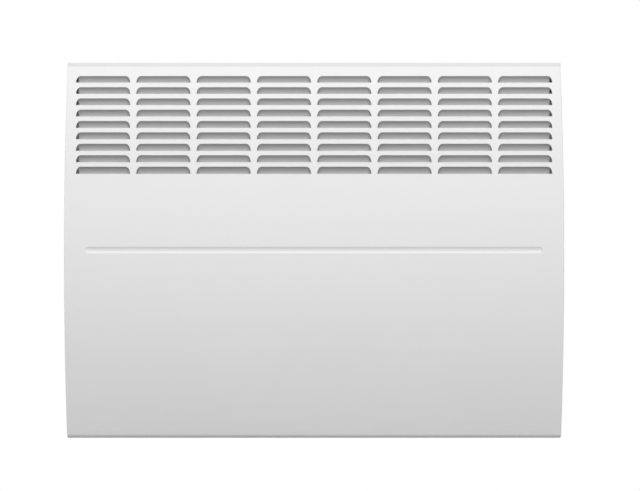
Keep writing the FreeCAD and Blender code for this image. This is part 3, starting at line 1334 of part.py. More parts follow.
def thermostat_wire():
    """From the thermostat through the partition to the overheat cut-out."""
    tab_y, tab_z = thermostat_tabs()[1]
    start = Vector(THERMOSTAT_BACK - TAB_LENGTH, tab_y, tab_z)
    gate = Vector(BAY_X, *grommet_places()[1])
    end = Vector(cutout_tabs()[1], cutout_tab_end(), ELEMENT_Z + CUTOUT_RISE)
    return wire(
        [
            start,
            start + Vector(-LEAD, 0, 0),
            gate + Vector(LEAD, 0, 0),
            gate + Vector(-LEAD, 0, 0),
            Vector(end.x + LEAD, gate.y, end.z),
            Vector(end.x, gate.y, end.z),
            end,
        ]
    )


def cutout_wire():
    """From the overheat cut-out to the element's right-hand pin."""
    start = Vector(cutout_tabs()[0], cutout_tab_end(), ELEMENT_Z + CUTOUT_RISE)
    pin, out = rod_ends()[1]
    end = pin + out * PIN_LENGTH
    above = ELEMENT_Z + FIN_HIGH + SLACK
    return wire(
        [
            start,
            start + Vector(0, -SLACK, 0),
            Vector(start.x, ELEMENT_Y, above),
            Vector(end.x - SLACK, ELEMENT_Y, above),
            Vector(end.x + SLACK, ELEMENT_Y, above - LEAD),
            Vector(end.x + SLACK, ELEMENT_Y, ELEMENT_Z),
            end,
        ]
    )


def neutral_wire():
    """From the block's neutral pole along the foot of the rear panel to the element's left-hand pin."""
    start = pole_mouth(0, -1)
    gate = Vector(BAY_X, *grommet_places()[0])
    pin, out = rod_ends()[0]
    end = pin + out * PIN_LENGTH
    return wire(
        [
            start,
            Vector(start.x, start.y, WIRE_RUN_Z + 2 * LEAD),
            gate + Vector(LEAD, 0, 0),
            gate + Vector(-LEAD, 0, 0),
            Vector(gate.x - 3 * LEAD, WIRE_RUN_Y, WIRE_RUN_Z),
            Vector(end.x + 2 * LEAD, WIRE_RUN_Y, WIRE_RUN_Z),
            Vector(end.x, WIRE_RUN_Y - SLACK, WIRE_RUN_Z + 2 * LEAD),
            Vector(end.x - SLACK, ELEMENT_Y, ELEMENT_Z - 2 * LEAD),
            Vector(end.x - SLACK, ELEMENT_Y, ELEMENT_Z),
            end,
        ]
    )


def earth_wire():
    """From the block's earth pole to the stud on the rear panel."""
    start = pole_mouth(-1, 1)
    end = earth_tag_end()
    return wire([start, start + Vector(0, 0, SLACK), end + Vector(0, 0, -SLACK / 2), end])


def wire_clips():
    """The clips that hold the neutral lead on the rear panel."""
    clips = []
    for i in range(WIRE_CLIP_COUNT):
        x = (i - (WIRE_CLIP_COUNT - 1) / 2) * WIRE_CLIP_SPACING
        reach = WIRE_RADIUS + WIRE_CLIP_WALL
        span_y = (WIRE_RUN_Y - reach, PANEL_FRONT)
        body = block(around(x, WIRE_CLIP_LENGTH), span_y, around(WIRE_RUN_Z, 2 * reach))
        body = rounded_along(
            body, Vector(1, 0, 0), WIRE_CLIP_WALL, lambda edge: edge.Vertexes[0].Point.y < WIRE_RUN_Y
        )
        start = Vector(x - WIRE_CLIP_LENGTH, WIRE_RUN_Y, WIRE_RUN_Z)
        bore = bar(WIRE_RADIUS + HOLE_CLEARANCE, start, start + Vector(2 * WIRE_CLIP_LENGTH, 0, 0))
        clips.append(body.cut(bore))
    return Part.makeCompound(clips)


PIECES = {
    "front_cover": front_cover,
    "inlet_grille": inlet_grille,
    "rear_panel": rear_panel,
    "wall_bracket": wall_bracket,
    "cover_screws": cover_screws,
    "panel_rivets": panel_rivets,
    "element_fins": element_fins,
    "element_rod": element_rod,
    "element_seals": element_seals,
    "element_pins": element_pins,
    "element_bushes": element_bushes,
    "element_bracket_left": lambda: element_bracket(left_bracket_x(), -1),
    "element_bracket_right": lambda: element_bracket(right_bracket_x(), 1),
    "heat_shield": heat_shield,
    "thermal_cutout": thermal_cutout,
    "cutout_screws": cutout_screws,
    "control_partition": control_partition,
    "wire_grommets": wire_grommets,
    "control_fascia": control_fascia,
    "thermostat_knob": thermostat_knob,
    "thermostat_spindle": thermostat_spindle,
    "thermostat_base": thermostat_base,
    "thermostat_screws": thermostat_screws,
    "thermostat_bimetal": thermostat_bimetal,
    "switch_body": switch_body,
    "switch_rocker": switch_rocker,
    "indicator_lens": indicator_lens,
    "indicator_lamp": indicator_lamp,
    "terminal_block": terminal_block,
    "terminal_screws": pole_screws,
    "terminal_block_screws": block_screws,
    "cable_gland": cable_gland,
    "gland_nut": gland_nut,
    "earth_stud": earth_stud,
    "earth_nuts": earth_nuts,
    "earth_tag": earth_tag,
    "live_wire": live_wire,
    "switched_wire": switched_wire,
    "thermostat_wire": thermostat_wire,
    "cutout_wire": cutout_wire,
    "neutral_wire": neutral_wire,
    "earth_wire": earth_wire,
    "wire_clips": wire_clips,
}


def main():
    os.makedirs("parts", exist_ok=True)
    for name, make in PIECES.items():
        shape = make()
        faults = [s for s in shape.Solids if not s.isValid() or s.Volume <= 0]
        print(f"{name}: {len(shape.Solids)} solids, {shape.Volume:.0f} mm3, faults {len(faults)}")
        shape.exportStep(os.path.join("parts", f"{name}.step"))


if __name__ == "__main__":
    main()
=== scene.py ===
import math

import bmesh
import bpy
from bpy.props import FloatProperty, FloatVectorProperty, IntProperty, PointerProperty
from mathutils import Matrix, Vector
from mathutils.geometry import delaunay_2d_cdt


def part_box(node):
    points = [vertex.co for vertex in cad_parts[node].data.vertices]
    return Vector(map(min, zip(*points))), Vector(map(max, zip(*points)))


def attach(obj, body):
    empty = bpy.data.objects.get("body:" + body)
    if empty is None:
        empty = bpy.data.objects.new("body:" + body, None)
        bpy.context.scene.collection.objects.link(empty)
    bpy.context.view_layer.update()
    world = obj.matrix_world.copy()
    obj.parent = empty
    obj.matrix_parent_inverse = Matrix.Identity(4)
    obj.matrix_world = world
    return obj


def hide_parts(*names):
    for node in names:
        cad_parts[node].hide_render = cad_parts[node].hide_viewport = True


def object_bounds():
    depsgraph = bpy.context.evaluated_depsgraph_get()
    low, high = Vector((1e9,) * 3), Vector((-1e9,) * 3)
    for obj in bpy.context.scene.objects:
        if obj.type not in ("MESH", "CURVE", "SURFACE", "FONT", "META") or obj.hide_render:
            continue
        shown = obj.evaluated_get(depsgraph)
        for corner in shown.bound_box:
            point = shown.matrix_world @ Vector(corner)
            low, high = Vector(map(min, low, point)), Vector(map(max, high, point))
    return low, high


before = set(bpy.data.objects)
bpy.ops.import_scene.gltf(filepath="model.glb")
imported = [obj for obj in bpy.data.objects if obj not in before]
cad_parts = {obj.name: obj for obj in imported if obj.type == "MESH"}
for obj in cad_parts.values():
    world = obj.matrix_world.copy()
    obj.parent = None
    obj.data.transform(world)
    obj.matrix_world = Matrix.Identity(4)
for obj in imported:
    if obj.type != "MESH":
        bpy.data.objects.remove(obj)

bl_info = {
    "name": "Convector heater",
    "version": (1, 0, 0),
    "blender": (4, 5, 0),
    "location": "3D View > Sidebar > Heater",
    "description": "Dresses the solid model of a wall convector heater",
    "category": "Add Mesh",
}

CAD_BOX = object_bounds()
COVER_LOW, COVER_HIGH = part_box("front_cover")
FASCIA_LOW, FASCIA_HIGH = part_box("control_fascia")
KNOB_LOW, KNOB_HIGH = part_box("thermostat_knob")
ROCKER_LOW, ROCKER_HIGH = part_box("switch_rocker")
MILLIMETRE = 0.001
WELD_DISTANCE = 2e-6
DECIMALS = 7
SHARP_ANGLE = math.radians(40)
EDGE_POINTINESS = 0.52
BAR_ROUNDNESS = 0.49
CORNERS = ((1, 1), (-1, 1), (-1, -1), (1, -1))
BAR_STEPS = 5
RING_STEPS = 24


# Settings
def setting(name, description, default, **more):
    """A number setting."""
    return FloatProperty(name=name, description=description, default=default, **more)


def length(name, description, millimetres):
    """A length setting, in metres, from its default in millimetres."""
    return setting(name, description, millimetres * MILLIMETRE, precision=5, unit="LENGTH")


def colour(name, description, *rgb):
    """A colour setting."""
    more = {"size": 3, "min": 0, "max": 1, "subtype": "COLOR"}
    return FloatVectorProperty(name=name, description=description, default=rgb, **more)


def degrees(name, description, default):
    """An angle setting, in radians, from its default in degrees."""
    return setting(name, description, math.radians(default), subtype="ANGLE")


def watts(name, description, default):
    """A lamp's power setting."""
    return setting(name, description, default, min=0, unit="POWER")


def count(name, description, default):
    """A whole-number setting."""
    return IntProperty(name=name, description=description, default=default, min=1)


class CoverSettings(bpy.types.PropertyGroup):
    """Sizes of the louvred cover"""

    sheet: length("Sheet", "Thickness of the cover's steel", 1.0)
    bow_sag: length("Bow sag", "How far the bow falls back at the foot of the top lip", 40.0)
    low_sag: length("Low sag", "How far the bow falls back at the bottom", 34.0)
    lip_height: length("Lip height", "Height of the upright lip along the top", 5.5)
    lip_crease: length("Lip crease", "Radius of the hollow where the lip meets the bow", 3.0)
    top_bend: length("Top bend", "Radius of the bend along the top of the lip", 1.5)
    side_bend: length("Side bend", "Radius of the bends along the two sides", 1.4)
    bottom_roll: length("Bottom roll", "Radius of the rolled bottom edge", 7.5)
    back_bend: length("Back bend", "Radius of the bends into the back flange", 1.2)
    back_flange: length("Back flange", "Width of the flange turned in at the back", 14.0)
    louvre_columns: count("Louvre columns", "Louvres in a row", 8)
    louvre_rows: count("Louvre rows", "Rows of louvres", 9)
    louvre_margin: length("Louvre margin", "Side of the cover to the louvred field", 6.8)
    louvre_bridge: length("Louvre bridge", "Sheet between two louvres of a row", 7.5)
    louvre_height: length("Louvre height", "Slit to the top of a louvre", 8.4)
    louvre_depth: length("Louvre depth", "How far a louvre is pressed in at its slit", 8.5)
    louvre_end: length("Louvre end", "How far a louvre's rounded end reaches", 5.5)
    louvre_lip: length("Louvre lip", "Radius at which the sheet turns into a louvre", 0.5)
    row_pitch: length("Row pitch", "Slit to slit, straight down", 13.77)
    top_slit_drop: length("Top slit drop", "Top of the cover to the first slit", 25.1)
    column_draw: length("Column draw", "How far the field's sides draw in from its top to its foot", 3.2)
    groove_margin: length("Groove margin", "Side of the cover to the end of the groove", 25.5)
    groove_width: length("Groove width", "Width of the groove across the middle", 7.0)
    groove_depth: length("Groove depth", "Depth of the groove across the middle", 1.2)
    groove_bend: length("Groove bend", "Depth over which the sheet rounds into the groove", 0.35)
    inlet_margin: length("Inlet margin", "Side of the cover to the end of the air inlet", 26.0)
    inlet_setback: length("Inlet setback", "Back of the cover to the air inlet", 5.0)
    inlet_depth: length("Inlet depth", "Air inlet, front to back", 23.0)
    fascia_rim: length("Fascia rim", "How far the fascia's rim laps over its cut-out", 3.0)
    fascia_corner: length("Fascia corner", "Corner radius of the fascia's cut-out", 8.0)


class ControlSettings(bpy.types.PropertyGroup):
    """Sizes and places of the marks on the controls"""

    print_thickness: length("Print thickness", "Thickness of printed marks", 0.05)
    dial_numbers: count("Dial numbers", "Settings numbered round the knob", 6)
    dial_turn: degrees("Dial turn", "From the first number to the last", 270)
    dial_radius: length("Dial radius", "Middle of the knob to the middle of a number", 19.8)
    number_size: length("Number size", "Letter height of the dial's numbers", 3.2)
    tick_radius: length("Tick radius", "Middle of the knob to the middle of a tick", 18.1)
    tick_length: length("Tick length", "Length of the dial's ticks", 0.7)
    tick_width: length("Tick width", "Width of the dial's ticks", 0.35)
    pointer_start: length("Pointer start", "Middle of the knob to the near end of its line", 5.5)
    pointer_length: length("Pointer length", "Length of the line on the knob's grip", 8.3)
    pointer_width: length("Pointer width", "Width of the line on the knob's grip", 1.2)
    rocker_tilt: degrees("Rocker tilt", "How far the rocker is tipped at rest", 9)
    pad_tilt: degrees("Pad tilt", "Slope of each rocker pad into the valley", 8.37)
    pad_reach: length("Pad reach", "Rocker's pivot out to the middle of a pad", 6.7)
    pad_middle: length("Pad middle", "Rocker's pivot along to the middle of a pad", 3.4)
    rocker_pivot_x: length("Rocker pivot", "Middle of the heater to the rocker's pivot", 292.0)
    rocker_pivot_z: length("Rocker pivot height", "Middle of the heater up to the rocker's pivot", -56.0)
    mark_offset: length("Mark offset", "Rocker's pivot along to the middle of a mark", 3.6)
    mark_size: length("Mark size", "Height of the rocker's marks", 3.0)
    mark_width: length("Mark width", "Line width of the rocker's marks", 0.5)


class FinishSettings(bpy.types.PropertyGroup):
    """Colours of the finishes"""

    cover_white: colour("Cover white", "Powder coat of the cover", 0.84, 0.84, 0.84)
    panel_white: colour("Panel white", "Powder coat of the rear panel", 0.8, 0.8, 0.79)
    dust: colour("Dust", "Dust that settles on flat tops", 0.6, 0.58, 0.54)
    zinc: colour("Zinc", "Zinc-plated sheet", 0.51, 0.525, 0.54)
    screw: colour("Screw", "Plated screws and rivets", 0.64, 0.64, 0.62)
    aluminium: colour("Aluminium", "Drawn aluminium of the element", 0.72, 0.73, 0.74)
    rod: colour("Rod", "Heat-tinted sheath of the rod", 0.4, 0.37, 0.33)
    rod_tint: colour("Rod tint", "Straw-coloured heat marks on the rod", 0.46, 0.33, 0.18)
    shield: colour("Shield", "Aluminised steel of the heat shield", 0.68, 0.69, 0.7)
    brass: colour("Brass", "Brass terminals", 0.74, 0.55, 0.24)
    brass_tarnish: colour("Brass tarnish", "Darkened brass", 0.4, 0.27, 0.12)
    bimetal: colour("Bimetal", "Bimetal strip", 0.62, 0.5, 0.36)
    ceramic: colour("Ceramic", "Glazed ceramic", 0.84, 0.81, 0.74)
    phenolic: colour("Phenolic", "Dark phenolic moulding", 0.045, 0.035, 0.03)
    rubber: colour("Rubber", "Black rubber", 0.025, 0.025, 0.025)
    fascia: colour("Fascia", "Pale grey moulding of the control plate", 0.72, 0.72, 0.71)
    knob: colour("Knob", "White moulding of the knob", 0.82, 0.82, 0.81)
    switch: colour("Switch", "Black moulding of the switch", 0.022, 0.022, 0.024)
    lens: colour("Lens", "Red indicator lens", 0.5, 0.02, 0.015)
    nylon: colour("Nylon", "Natural nylon", 0.78, 0.75, 0.67)
    gland: colour("Gland", "Black nylon of the cable gland", 0.03, 0.03, 0.03)
    live: colour("Live", "Brown sleeving", 0.16, 0.065, 0.03)
    neutral: colour("Neutral", "Blue sleeving", 0.03, 0.09, 0.34)
    earth_green: colour("Earth green", "Green of the earth wire", 0.05, 0.27, 0.04)
    earth_yellow: colour("Earth yellow", "Yellow of the earth wire", 0.75, 0.6, 0.04)
    print_black: colour("Print black", "Printed marks on pale plastic", 0.05, 0.05, 0.055)
    print_white: colour("Print white", "Printed marks on black plastic", 0.8, 0.8, 0.8)


class StageSettings(bpy.types.PropertyGroup):
    """Camera, floor and light"""

    camera_distance: length("Camera distance", "Wall to the camera", 2658.0)
    lens: setting("Lens", "Focal length of the camera", 121.8, unit="CAMERA")
    shift_x: setting("Shift X", "Sideways lens shift", 0.0092)
    shift_y: setting("Shift Y", "Upward lens shift", 0.0069)
    floor_drop: length("Floor drop", "Bottom of the heater to the floor", 150.0)
    floor_half: length("Floor half", "Middle of the floor to its edges", 30000.0)
    shadow_reach: length("Shadow reach", "Middle of the heater to where the floor starts to whiten", 350.0)
    white_reach: length("White reach", "Middle of the heater to where the floor is white", 750.0)
    floor_colour: colour("Floor colour", "Paint of the floor", 0.8, 0.8, 0.8)
    floor_bounce: colour("Floor bounce", "Light that the floor throws back", 0.15, 0.15, 0.15)
    sky_level: setting("Sky level", "Strength of the light all round", 0.5)
    key_power: watts("Key power", "Power of the light above the camera", 20)
    front_power: watts("Front power", "Power of the soft light in front", 29)
    top_power: watts("Top power", "Power of the light overhead", 15)
    side_power: watts("Side power", "Power of each light at the sides", 16)
    back_power: watts("Back power", "Power of the light behind", 20)


# Shared effects
def add_node(tree, kind, fields=None, sockets=None):
    """A node with its fields set and its sockets given a value or a link."""
    node = tree.nodes.new(kind)
    for field, value in (fields or {}).items():
        setattr(node, field, value)
    for socket, value in (sockets or {}).items():
        if isinstance(value, bpy.types.NodeSocket):
            tree.links.new(value, node.inputs[socket])
        else:
            node.inputs[socket].default_value = value
    return node


def new_effect(name, inputs, outputs):
    """An empty node group with number sockets, and its two end nodes."""
    tree = bpy.data.node_groups.new(name, "ShaderNodeTree")
    for socket, default in inputs.items():
        made = tree.interface.new_socket(socket, in_out="INPUT", socket_type="NodeSocketFloat")
        made.default_value = default
    for socket in outputs:
        tree.interface.new_socket(socket, in_out="OUTPUT", socket_type="NodeSocketFloat")
    return tree, tree.nodes.new("NodeGroupInput").outputs, tree.nodes.new("NodeGroupOutput").inputs


def object_place(tree):
    """Where a point stands on the object at rest."""
    return add_node(tree, "ShaderNodeTexCoord").outputs["Object"]


def noise(tree, scale, detail=2.0, place=None):
    """Soft noise from 0 to 1 over the object, or over another place."""
    if place is None:
        place = object_place(tree)
    made = add_node(tree, "ShaderNodeTexNoise", None, {"Vector": place, "Scale": scale, "Detail": detail})
    return made.outputs["Fac"]


def remap(tree, value, low, high, new_low=0.0, new_high=1.0):
    """A value stretched from one range to another, and held inside it."""
    sockets = {"Value": value, "From Min": low, "From Max": high, "To Min": new_low, "To Max": new_high}
    return add_node(tree, "ShaderNodeMapRange", None, sockets).outputs["Result"]


def maths(tree, operation, first, second):
    """One step of arithmetic on two values."""
    return add_node(tree, "ShaderNodeMath", {"operation": operation}, {0: first, 1: second}).outputs[0]


def surface_grain():
    """Fine grain for the height of a skin, and a broad mottle."""
    sizes = {"Grain": 900, "Mottle size": 12}
    tree, given, result = new_effect("Surface grain", sizes, ("Height", "Mottle"))
    tree.links.new(noise(tree, given["Grain"]), result["Height"])
    mottle = remap(tree, noise(tree, given["Mottle size"], detail=4), low=0.3, high=0.7)
    tree.links.new(mottle, result["Mottle"])
    return tree


def edge_wear():
    """Patchy rubbing along outer edges."""
    tree, given, result = new_effect("Edge wear", {"Reach": 0.06, "Patch size": 120}, ("Mask",))
    pointiness = add_node(tree, "ShaderNodeNewGeometry").outputs["Pointiness"]
    edge = remap(tree, pointiness, EDGE_POINTINESS, maths(tree, "ADD", given["Reach"], EDGE_POINTINESS))
    patch = remap(tree, noise(tree, given["Patch size"], detail=5), low=0.42, high=0.62)
    tree.links.new(maths(tree, "MULTIPLY", edge, patch), result["Mask"])
    return tree


def settled_dust():
    """Dust on faces that look up."""
    tree, given, result = new_effect("Settled dust", {"Patch size": 60}, ("Mask",))
    normal = add_node(tree, "ShaderNodeNewGeometry").outputs["Normal"]
    up = add_node(tree, "ShaderNodeSeparateXYZ", None, {0: normal}).outputs["Z"]
    patch = remap(tree, noise(tree, given["Patch size"], detail=6), low=0.35, high=0.7)
    level = remap(tree, up, low=0.75, high=1.0)
    tree.links.new(maths(tree, "MULTIPLY", level, patch), result["Mask"])
    return tree


def drawn_lines():
    """Fine lines left by rolling or drawing, long where the count along an axis is low."""
    counts = {"Count X": 20, "Count Y": 2000, "Count Z": 2000}
    tree, given, result = new_effect("Drawn lines", counts, ("Streak",))
    axes = {axis: given["Count " + axis] for axis in "XYZ"}
    stretch = add_node(tree, "ShaderNodeCombineXYZ", None, axes).outputs[0]
    factors = {0: object_place(tree), 1: stretch}
    stretched = add_node(tree, "ShaderNodeVectorMath", {"operation": "MULTIPLY"}, factors).outputs[0]
    tree.links.new(noise(tree, 1.0, detail=3, place=stretched), result["Streak"])
    return tree


def zinc_spangle():
    """Crystals of hot-dipped zinc, each with its own shade."""
    tree, given, result = new_effect("Zinc spangle", {"Crystals": 130}, ("Shade",))
    sockets = {"Vector": object_place(tree), "Scale": given["Crystals"]}
    cells = add_node(tree, "ShaderNodeTexVoronoi", None, sockets).outputs["Color"]
    tree.links.new(add_node(tree, "ShaderNodeSeparateColor", None, {0: cells}).outputs[0], result["Shade"])
    return tree


# Finishes
class Finish:
    """A material whose shader is fed by the shared effects; plain numbers go straight to its sockets."""

    def __init__(self, name, sockets):
        self.material = bpy.data.materials.new(name)
        self.material.use_nodes = True
        self.tree = self.material.node_tree
        self.shader = self.tree.nodes["Principled BSDF"]
        for socket, value in sockets.items():
            self.shader.inputs[socket].default_value = value

    def effect(self, make, **values):
        """A shared effect placed in this material; its group is made the first time."""
        name = make.__name__.replace("_", " ").capitalize()
        group = bpy.data.node_groups.get(name) or make()
        node = add_node(self.tree, "ShaderNodeGroup", {"node_tree": group})
        for socket, value in values.items():
            node.inputs[socket.replace("_", " ")].default_value = value
        return node.outputs

    def feed(self, socket, value):
        """Links a value to the shader."""
        self.tree.links.new(value, self.shader.inputs[socket])

    def paint(self, base, *layers):
        """A base colour under layers, each a mask, how much of it shows, and a colour."""
        for mask, amount, over in layers:
            if amount < 1:
                mask = maths(self.tree, "MULTIPLY", mask, amount)
            sockets = {"Factor": mask, "A": base, "B": over}
            base = add_node(self.tree, "ShaderNodeMix", {"data_type": "RGBA"}, sockets).outputs["Result"]
        self.feed("Base Color", base)

    def roughen(self, mask, low, high):
        """Roughness that follows a mask."""
        self.feed("Roughness", remap(self.tree, mask, 0, 1, low, high))

    def bump(self, height, strength, depth):
        """A bumped surface; depth is in metres."""
        sockets = {"Strength": strength, "Distance": depth, "Height": height}
        self.feed("Normal", add_node(self.tree, "ShaderNodeBump", None, sockets).outputs["Normal"])


def shade(rgb, factor=1.0):
    """A colour made lighter or darker, ready for a socket."""
    return (*(min(channel * factor, 1.0) for channel in rgb), 1.0)


def powder_coat(name, rgb, dust):
    """White powder coat: orange-peel skin, faint mottle, thinner on edges, painted shade inside the louvres,
    dusty on top.
    """
    finish = Finish(name, {"IOR": 1.48})
    grain = finish.effect(surface_grain, Grain=650, Mottle_size=9)
    wear = finish.effect(edge_wear, Reach=0.1, Patch_size=140)["Mask"]
    settled = finish.effect(settled_dust, Patch_size=70)["Mask"]
    hollow = add_node(finish.tree, "ShaderNodeAttribute", {"attribute_name": "hollow"}).outputs["Fac"]
    finish.paint(
        shade(rgb, 0.985),
        (grain["Mottle"], 1, shade(rgb, 1.005)),
        (wear, 0.35, shade(rgb, 0.8)),
        # Painted shade: the coat is darkened inside each louvre, most under its lip and less towards its
        # slit.
        (hollow, 1, shade(rgb, 0.56)),
        (settled, 0.12, shade(dust)),
    )
    finish.roughen(grain["Mottle"], low=0.46, high=0.54)
    finish.bump(grain["Height"], strength=0.12, depth=0.00012)
    return finish.material


def plated_steel(name, rgb, crystals):
    """Zinc-plated steel: spangle, dull patches and bright rubbed edges."""
    finish = Finish(name, {"Metallic": 1.0})
    spangle = finish.effect(zinc_spangle, Crystals=crystals)["Shade"]
    grain = finish.effect(surface_grain, Grain=1500, Mottle_size=25)
    wear = finish.effect(edge_wear, Reach=0.08, Patch_size=200)["Mask"]
    finish.paint(
        shade(rgb, 0.94),
        (spangle, 1, shade(rgb, 1.05)),
        (grain["Mottle"], 0.25, shade(rgb, 0.88)),
        (wear, 1, shade(rgb, 1.25)),
    )
    finish.roughen(spangle, low=0.36, high=0.44)
    finish.bump(grain["Height"], strength=0.1, depth=0.00008)
    return finish.material


def drawn_metal(name, rgb, tarnish, counts, roughness):
    """Bare metal with drawn lines, so many along each axis, and a patchy tint."""
    finish = Finish(name, {"Metallic": 1.0})
    count_x, count_y, count_z = counts
    lines = finish.effect(drawn_lines, Count_X=count_x, Count_Y=count_y, Count_Z=count_z)["Streak"]
    grain = finish.effect(surface_grain, Grain=1800, Mottle_size=35)
    wear = finish.effect(edge_wear, Reach=0.08, Patch_size=220)["Mask"]
    finish.paint(
        shade(rgb, 0.82),
        (lines, 1, shade(rgb, 1.12)),
        (grain["Mottle"], 0.55, tarnish),
        (wear, 1, shade(rgb, 1.25)),
    )
    finish.roughen(lines, low=roughness - 0.08, high=roughness + 0.1)
    finish.bump(lines, strength=0.15, depth=0.00008)
    return finish.material


def moulded_plastic(name, rgb, roughness, grain_count=1400):
    """Moulded plastic: fine spark-eroded grain, faint flow marks and rubbed edges."""
    finish = Finish(name, {"IOR": 1.5})
    grain = finish.effect(surface_grain, Grain=grain_count, Mottle_size=40)
    wear = finish.effect(edge_wear, Reach=0.1, Patch_size=260)["Mask"]
    mottle = (grain["Mottle"], 1, shade(rgb, 1.03))
    finish.paint(shade(rgb, 0.95), mottle, (wear, 0.4, shade(rgb, 1.35)))
    finish.roughen(grain["Mottle"], low=roughness - 0.05, high=roughness + 0.06)
    finish.bump(grain["Height"], strength=0.14, depth=0.0001)
    return finish.material


def glazed_ceramic(name, rgb):
    """Glazed ceramic with a few iron specks under the glaze."""
    finish = Finish(name, {"IOR": 1.55, "Coat Weight": 0.6, "Coat Roughness": 0.12})
    grain = finish.effect(surface_grain, Grain=1100, Mottle_size=60)
    specks = remap(finish.tree, grain["Height"], low=0.68, high=0.74)
    mottle = (grain["Mottle"], 1, shade(rgb, 1.03))
    finish.paint(shade(rgb, 0.95), mottle, (specks, 1, shade(rgb, 0.45)))
    finish.roughen(grain["Mottle"], low=0.24, high=0.34)
    finish.bump(grain["Height"], strength=0.08, depth=0.0001)
    return finish.material


def lens_plastic(name, rgb):
    """Red see-through plastic with fine prism lines."""
    finish = Finish(name, {"Transmission Weight": 0.45, "IOR": 1.49})
    lines = finish.effect(drawn_lines, Count_X=40, Count_Y=60, Count_Z=2600)["Streak"]
    finish.paint(shade(rgb, 0.8), (lines, 1, shade(rgb, 1.25)))
    finish.roughen(lines, low=0.12, high=0.24)
    finish.bump(lines, strength=0.3, depth=0.0001)
    return finish.material


def woven_sleeve(name, first, second):
    """Woven sleeving with slanted stripes of a first and a second colour, which may be the same."""
    finish = Finish(name, {"Sheen Weight": 0.15})

    def slanted(scale):
        sockets = {"Vector": object_place(finish.tree), "Scale": scale}
        fields = {"bands_direction": "DIAGONAL"}
        return add_node(finish.tree, "ShaderNodeTexWave", fields, sockets).outputs["Fac"]

    weave = slanted(scale=420)
    stripes = remap(finish.tree, slanted(scale=45), low=0.45, high=0.55)
    # Painted shade: the sleeving is darkened where the weave dips between its threads.
    weave_shade = remap(finish.tree, weave, low=0.0, high=0.6, new_low=0.35, new_high=0.0)
    grain = finish.effect(surface_grain, Grain=2200, Mottle_size=50)
    finish.paint(shade(first), (stripes, 1, shade(second)), (weave_shade, 1, shade(first, 0.55)))
    finish.roughen(grain["Mottle"], low=0.5, high=0.66)
    finish.bump(weave, strength=0.25, depth=0.00015)
    return finish.material


def dress(material, *nodes):
    """Gives carried-over solids a finish."""
    for node in nodes:
        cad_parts[node].material_slots[0].material = material


# Making pieces
def add_object(name, data):
    """A new object in the scene."""
    made = bpy.data.objects.new(name, data)
    bpy.context.scene.collection.objects.link(made)
    return made


def finished_mesh(name, mesh):
    """Mesh data from a mesh in the making, which is then freed."""
    data = bpy.data.meshes.new(name)
    mesh.to_mesh(data)
    mesh.free()
    return data


# Cover
def smooth_max(value, bend):
    """The larger of a value and nought, rounded off where the two meet."""
    spare = max(bend - abs(value), 0.0) / bend
    return max(value, 0.0) + spare * spare * bend / 4


def spread(low, high, steps):
    """Evenly spaced values, both ends among them."""
    return [low + (high - low) * i / steps for i in range(steps + 1)]


class Skin:
    """The faces of a thin sheet, gathered patch by patch and welded at the end."""

    def __init__(self):
        self.mesh = bmesh.new()

    def face(self, points):
        """One face, with corners of its own until the weld."""
        self.mesh.faces.new([self.mesh.verts.new(p) for p in points])

    def grid(self, rows, keep=lambda low, high: True):
        """Quads between rows of points, each from left to right and the rows from the top down."""
        for upper, lower in zip(rows, rows[1:]):
            for i in range(len(upper) - 1):
                if keep(lower[i], upper[i + 1]):
                    self.face([upper[i], lower[i], lower[i + 1], upper[i + 1]])

    def step(self, upper, lower):
        """Faces between two rows, one of which has more points than the other."""
        shared = sorted({round(p.x, DECIMALS) for p in upper} & {round(p.x, DECIMALS) for p in lower})
        for left, right in zip(shared, shared[1:]):
            over = [p for p in upper if left <= round(p.x, DECIMALS) <= right]
            under = [p for p in lower if left <= round(p.x, DECIMALS) <= right]
            self.face(over[:1] + under + over[:0:-1])

    def fill(self, loops, across, flip):
        """Flat faces inside the first loop and outside the holes; across picks the flat's two axes.

        A hole runs from the first axis towards the second.
        """
        points = []
        rings = []
        for loop in loops:
            rings.append(range(len(points), len(points) + len(loop)))
            points += loop
        flat = [Vector((p[across[0]], p[across[1]])) for p in points]
        inside_only = 1
        _, _, faces, sources, _, rings_round = delaunay_2d_cdt(flat, [], rings, inside_only, 1e-9)
        for face, around in zip(faces, rings_round):
            if max(around, default=0) == 0:
                corners = [points[sources[v][0]] for v in face]
                self.face(corners[::-1] if flip else corners)

    def to_object(self, name, sheet):
        """The welded sheet, thickened inwards."""
        bmesh.ops.remove_doubles(self.mesh, verts=self.mesh.verts, dist=WELD_DISTANCE)
        piece = add_object(name, finished_mesh(name, self.mesh))
        thickness = piece.modifiers.new("Sheet", "SOLIDIFY")
        thickness.thickness = sheet
        thickness.offset = -1
        thickness.use_even_offset = True
        thickness.use_quality_normals = True
        bake_modifiers(piece)
        return piece


def bake_modifiers(piece):
    """Makes a piece's modified shape its own mesh."""
    bpy.context.view_layer.update()
    shaped = piece.evaluated_get(bpy.context.evaluated_depsgraph_get())
    data = bpy.data.meshes.new_from_object(shaped)
    piece.modifiers.clear()
    piece.data = data


def smooth_shade(piece):
    """Smooth faces with crisp edges, shaded by the larger faces."""
    piece.data.polygons.foreach_set("use_smooth", [True] * len(piece.data.polygons))
    piece.data.set_sharp_from_angle(angle=SHARP_ANGLE)
    normals = piece.modifiers.new("Even shading", "WEIGHTED_NORMAL")
    normals.keep_sharp = True
    normals.weight = 100


def arc_radius(half, rise):
    """The radius of an arc that rises so far over half its chord."""
    return (half**2 + rise**2) / (2 * rise)


class Station:
    """A place on the cover's side profile, with the way out of the sheet there."""

    def __init__(self, y, z, out_y, out_z):
        self.y, self.z, self.out_y, self.out_z = y, z, out_y, out_z

    def point(self, x, inset=0.0):
        """The point at a place across the cover, set in from the profile."""
        return Vector((x, self.y - self.out_y * inset, self.z - self.out_z * inset))


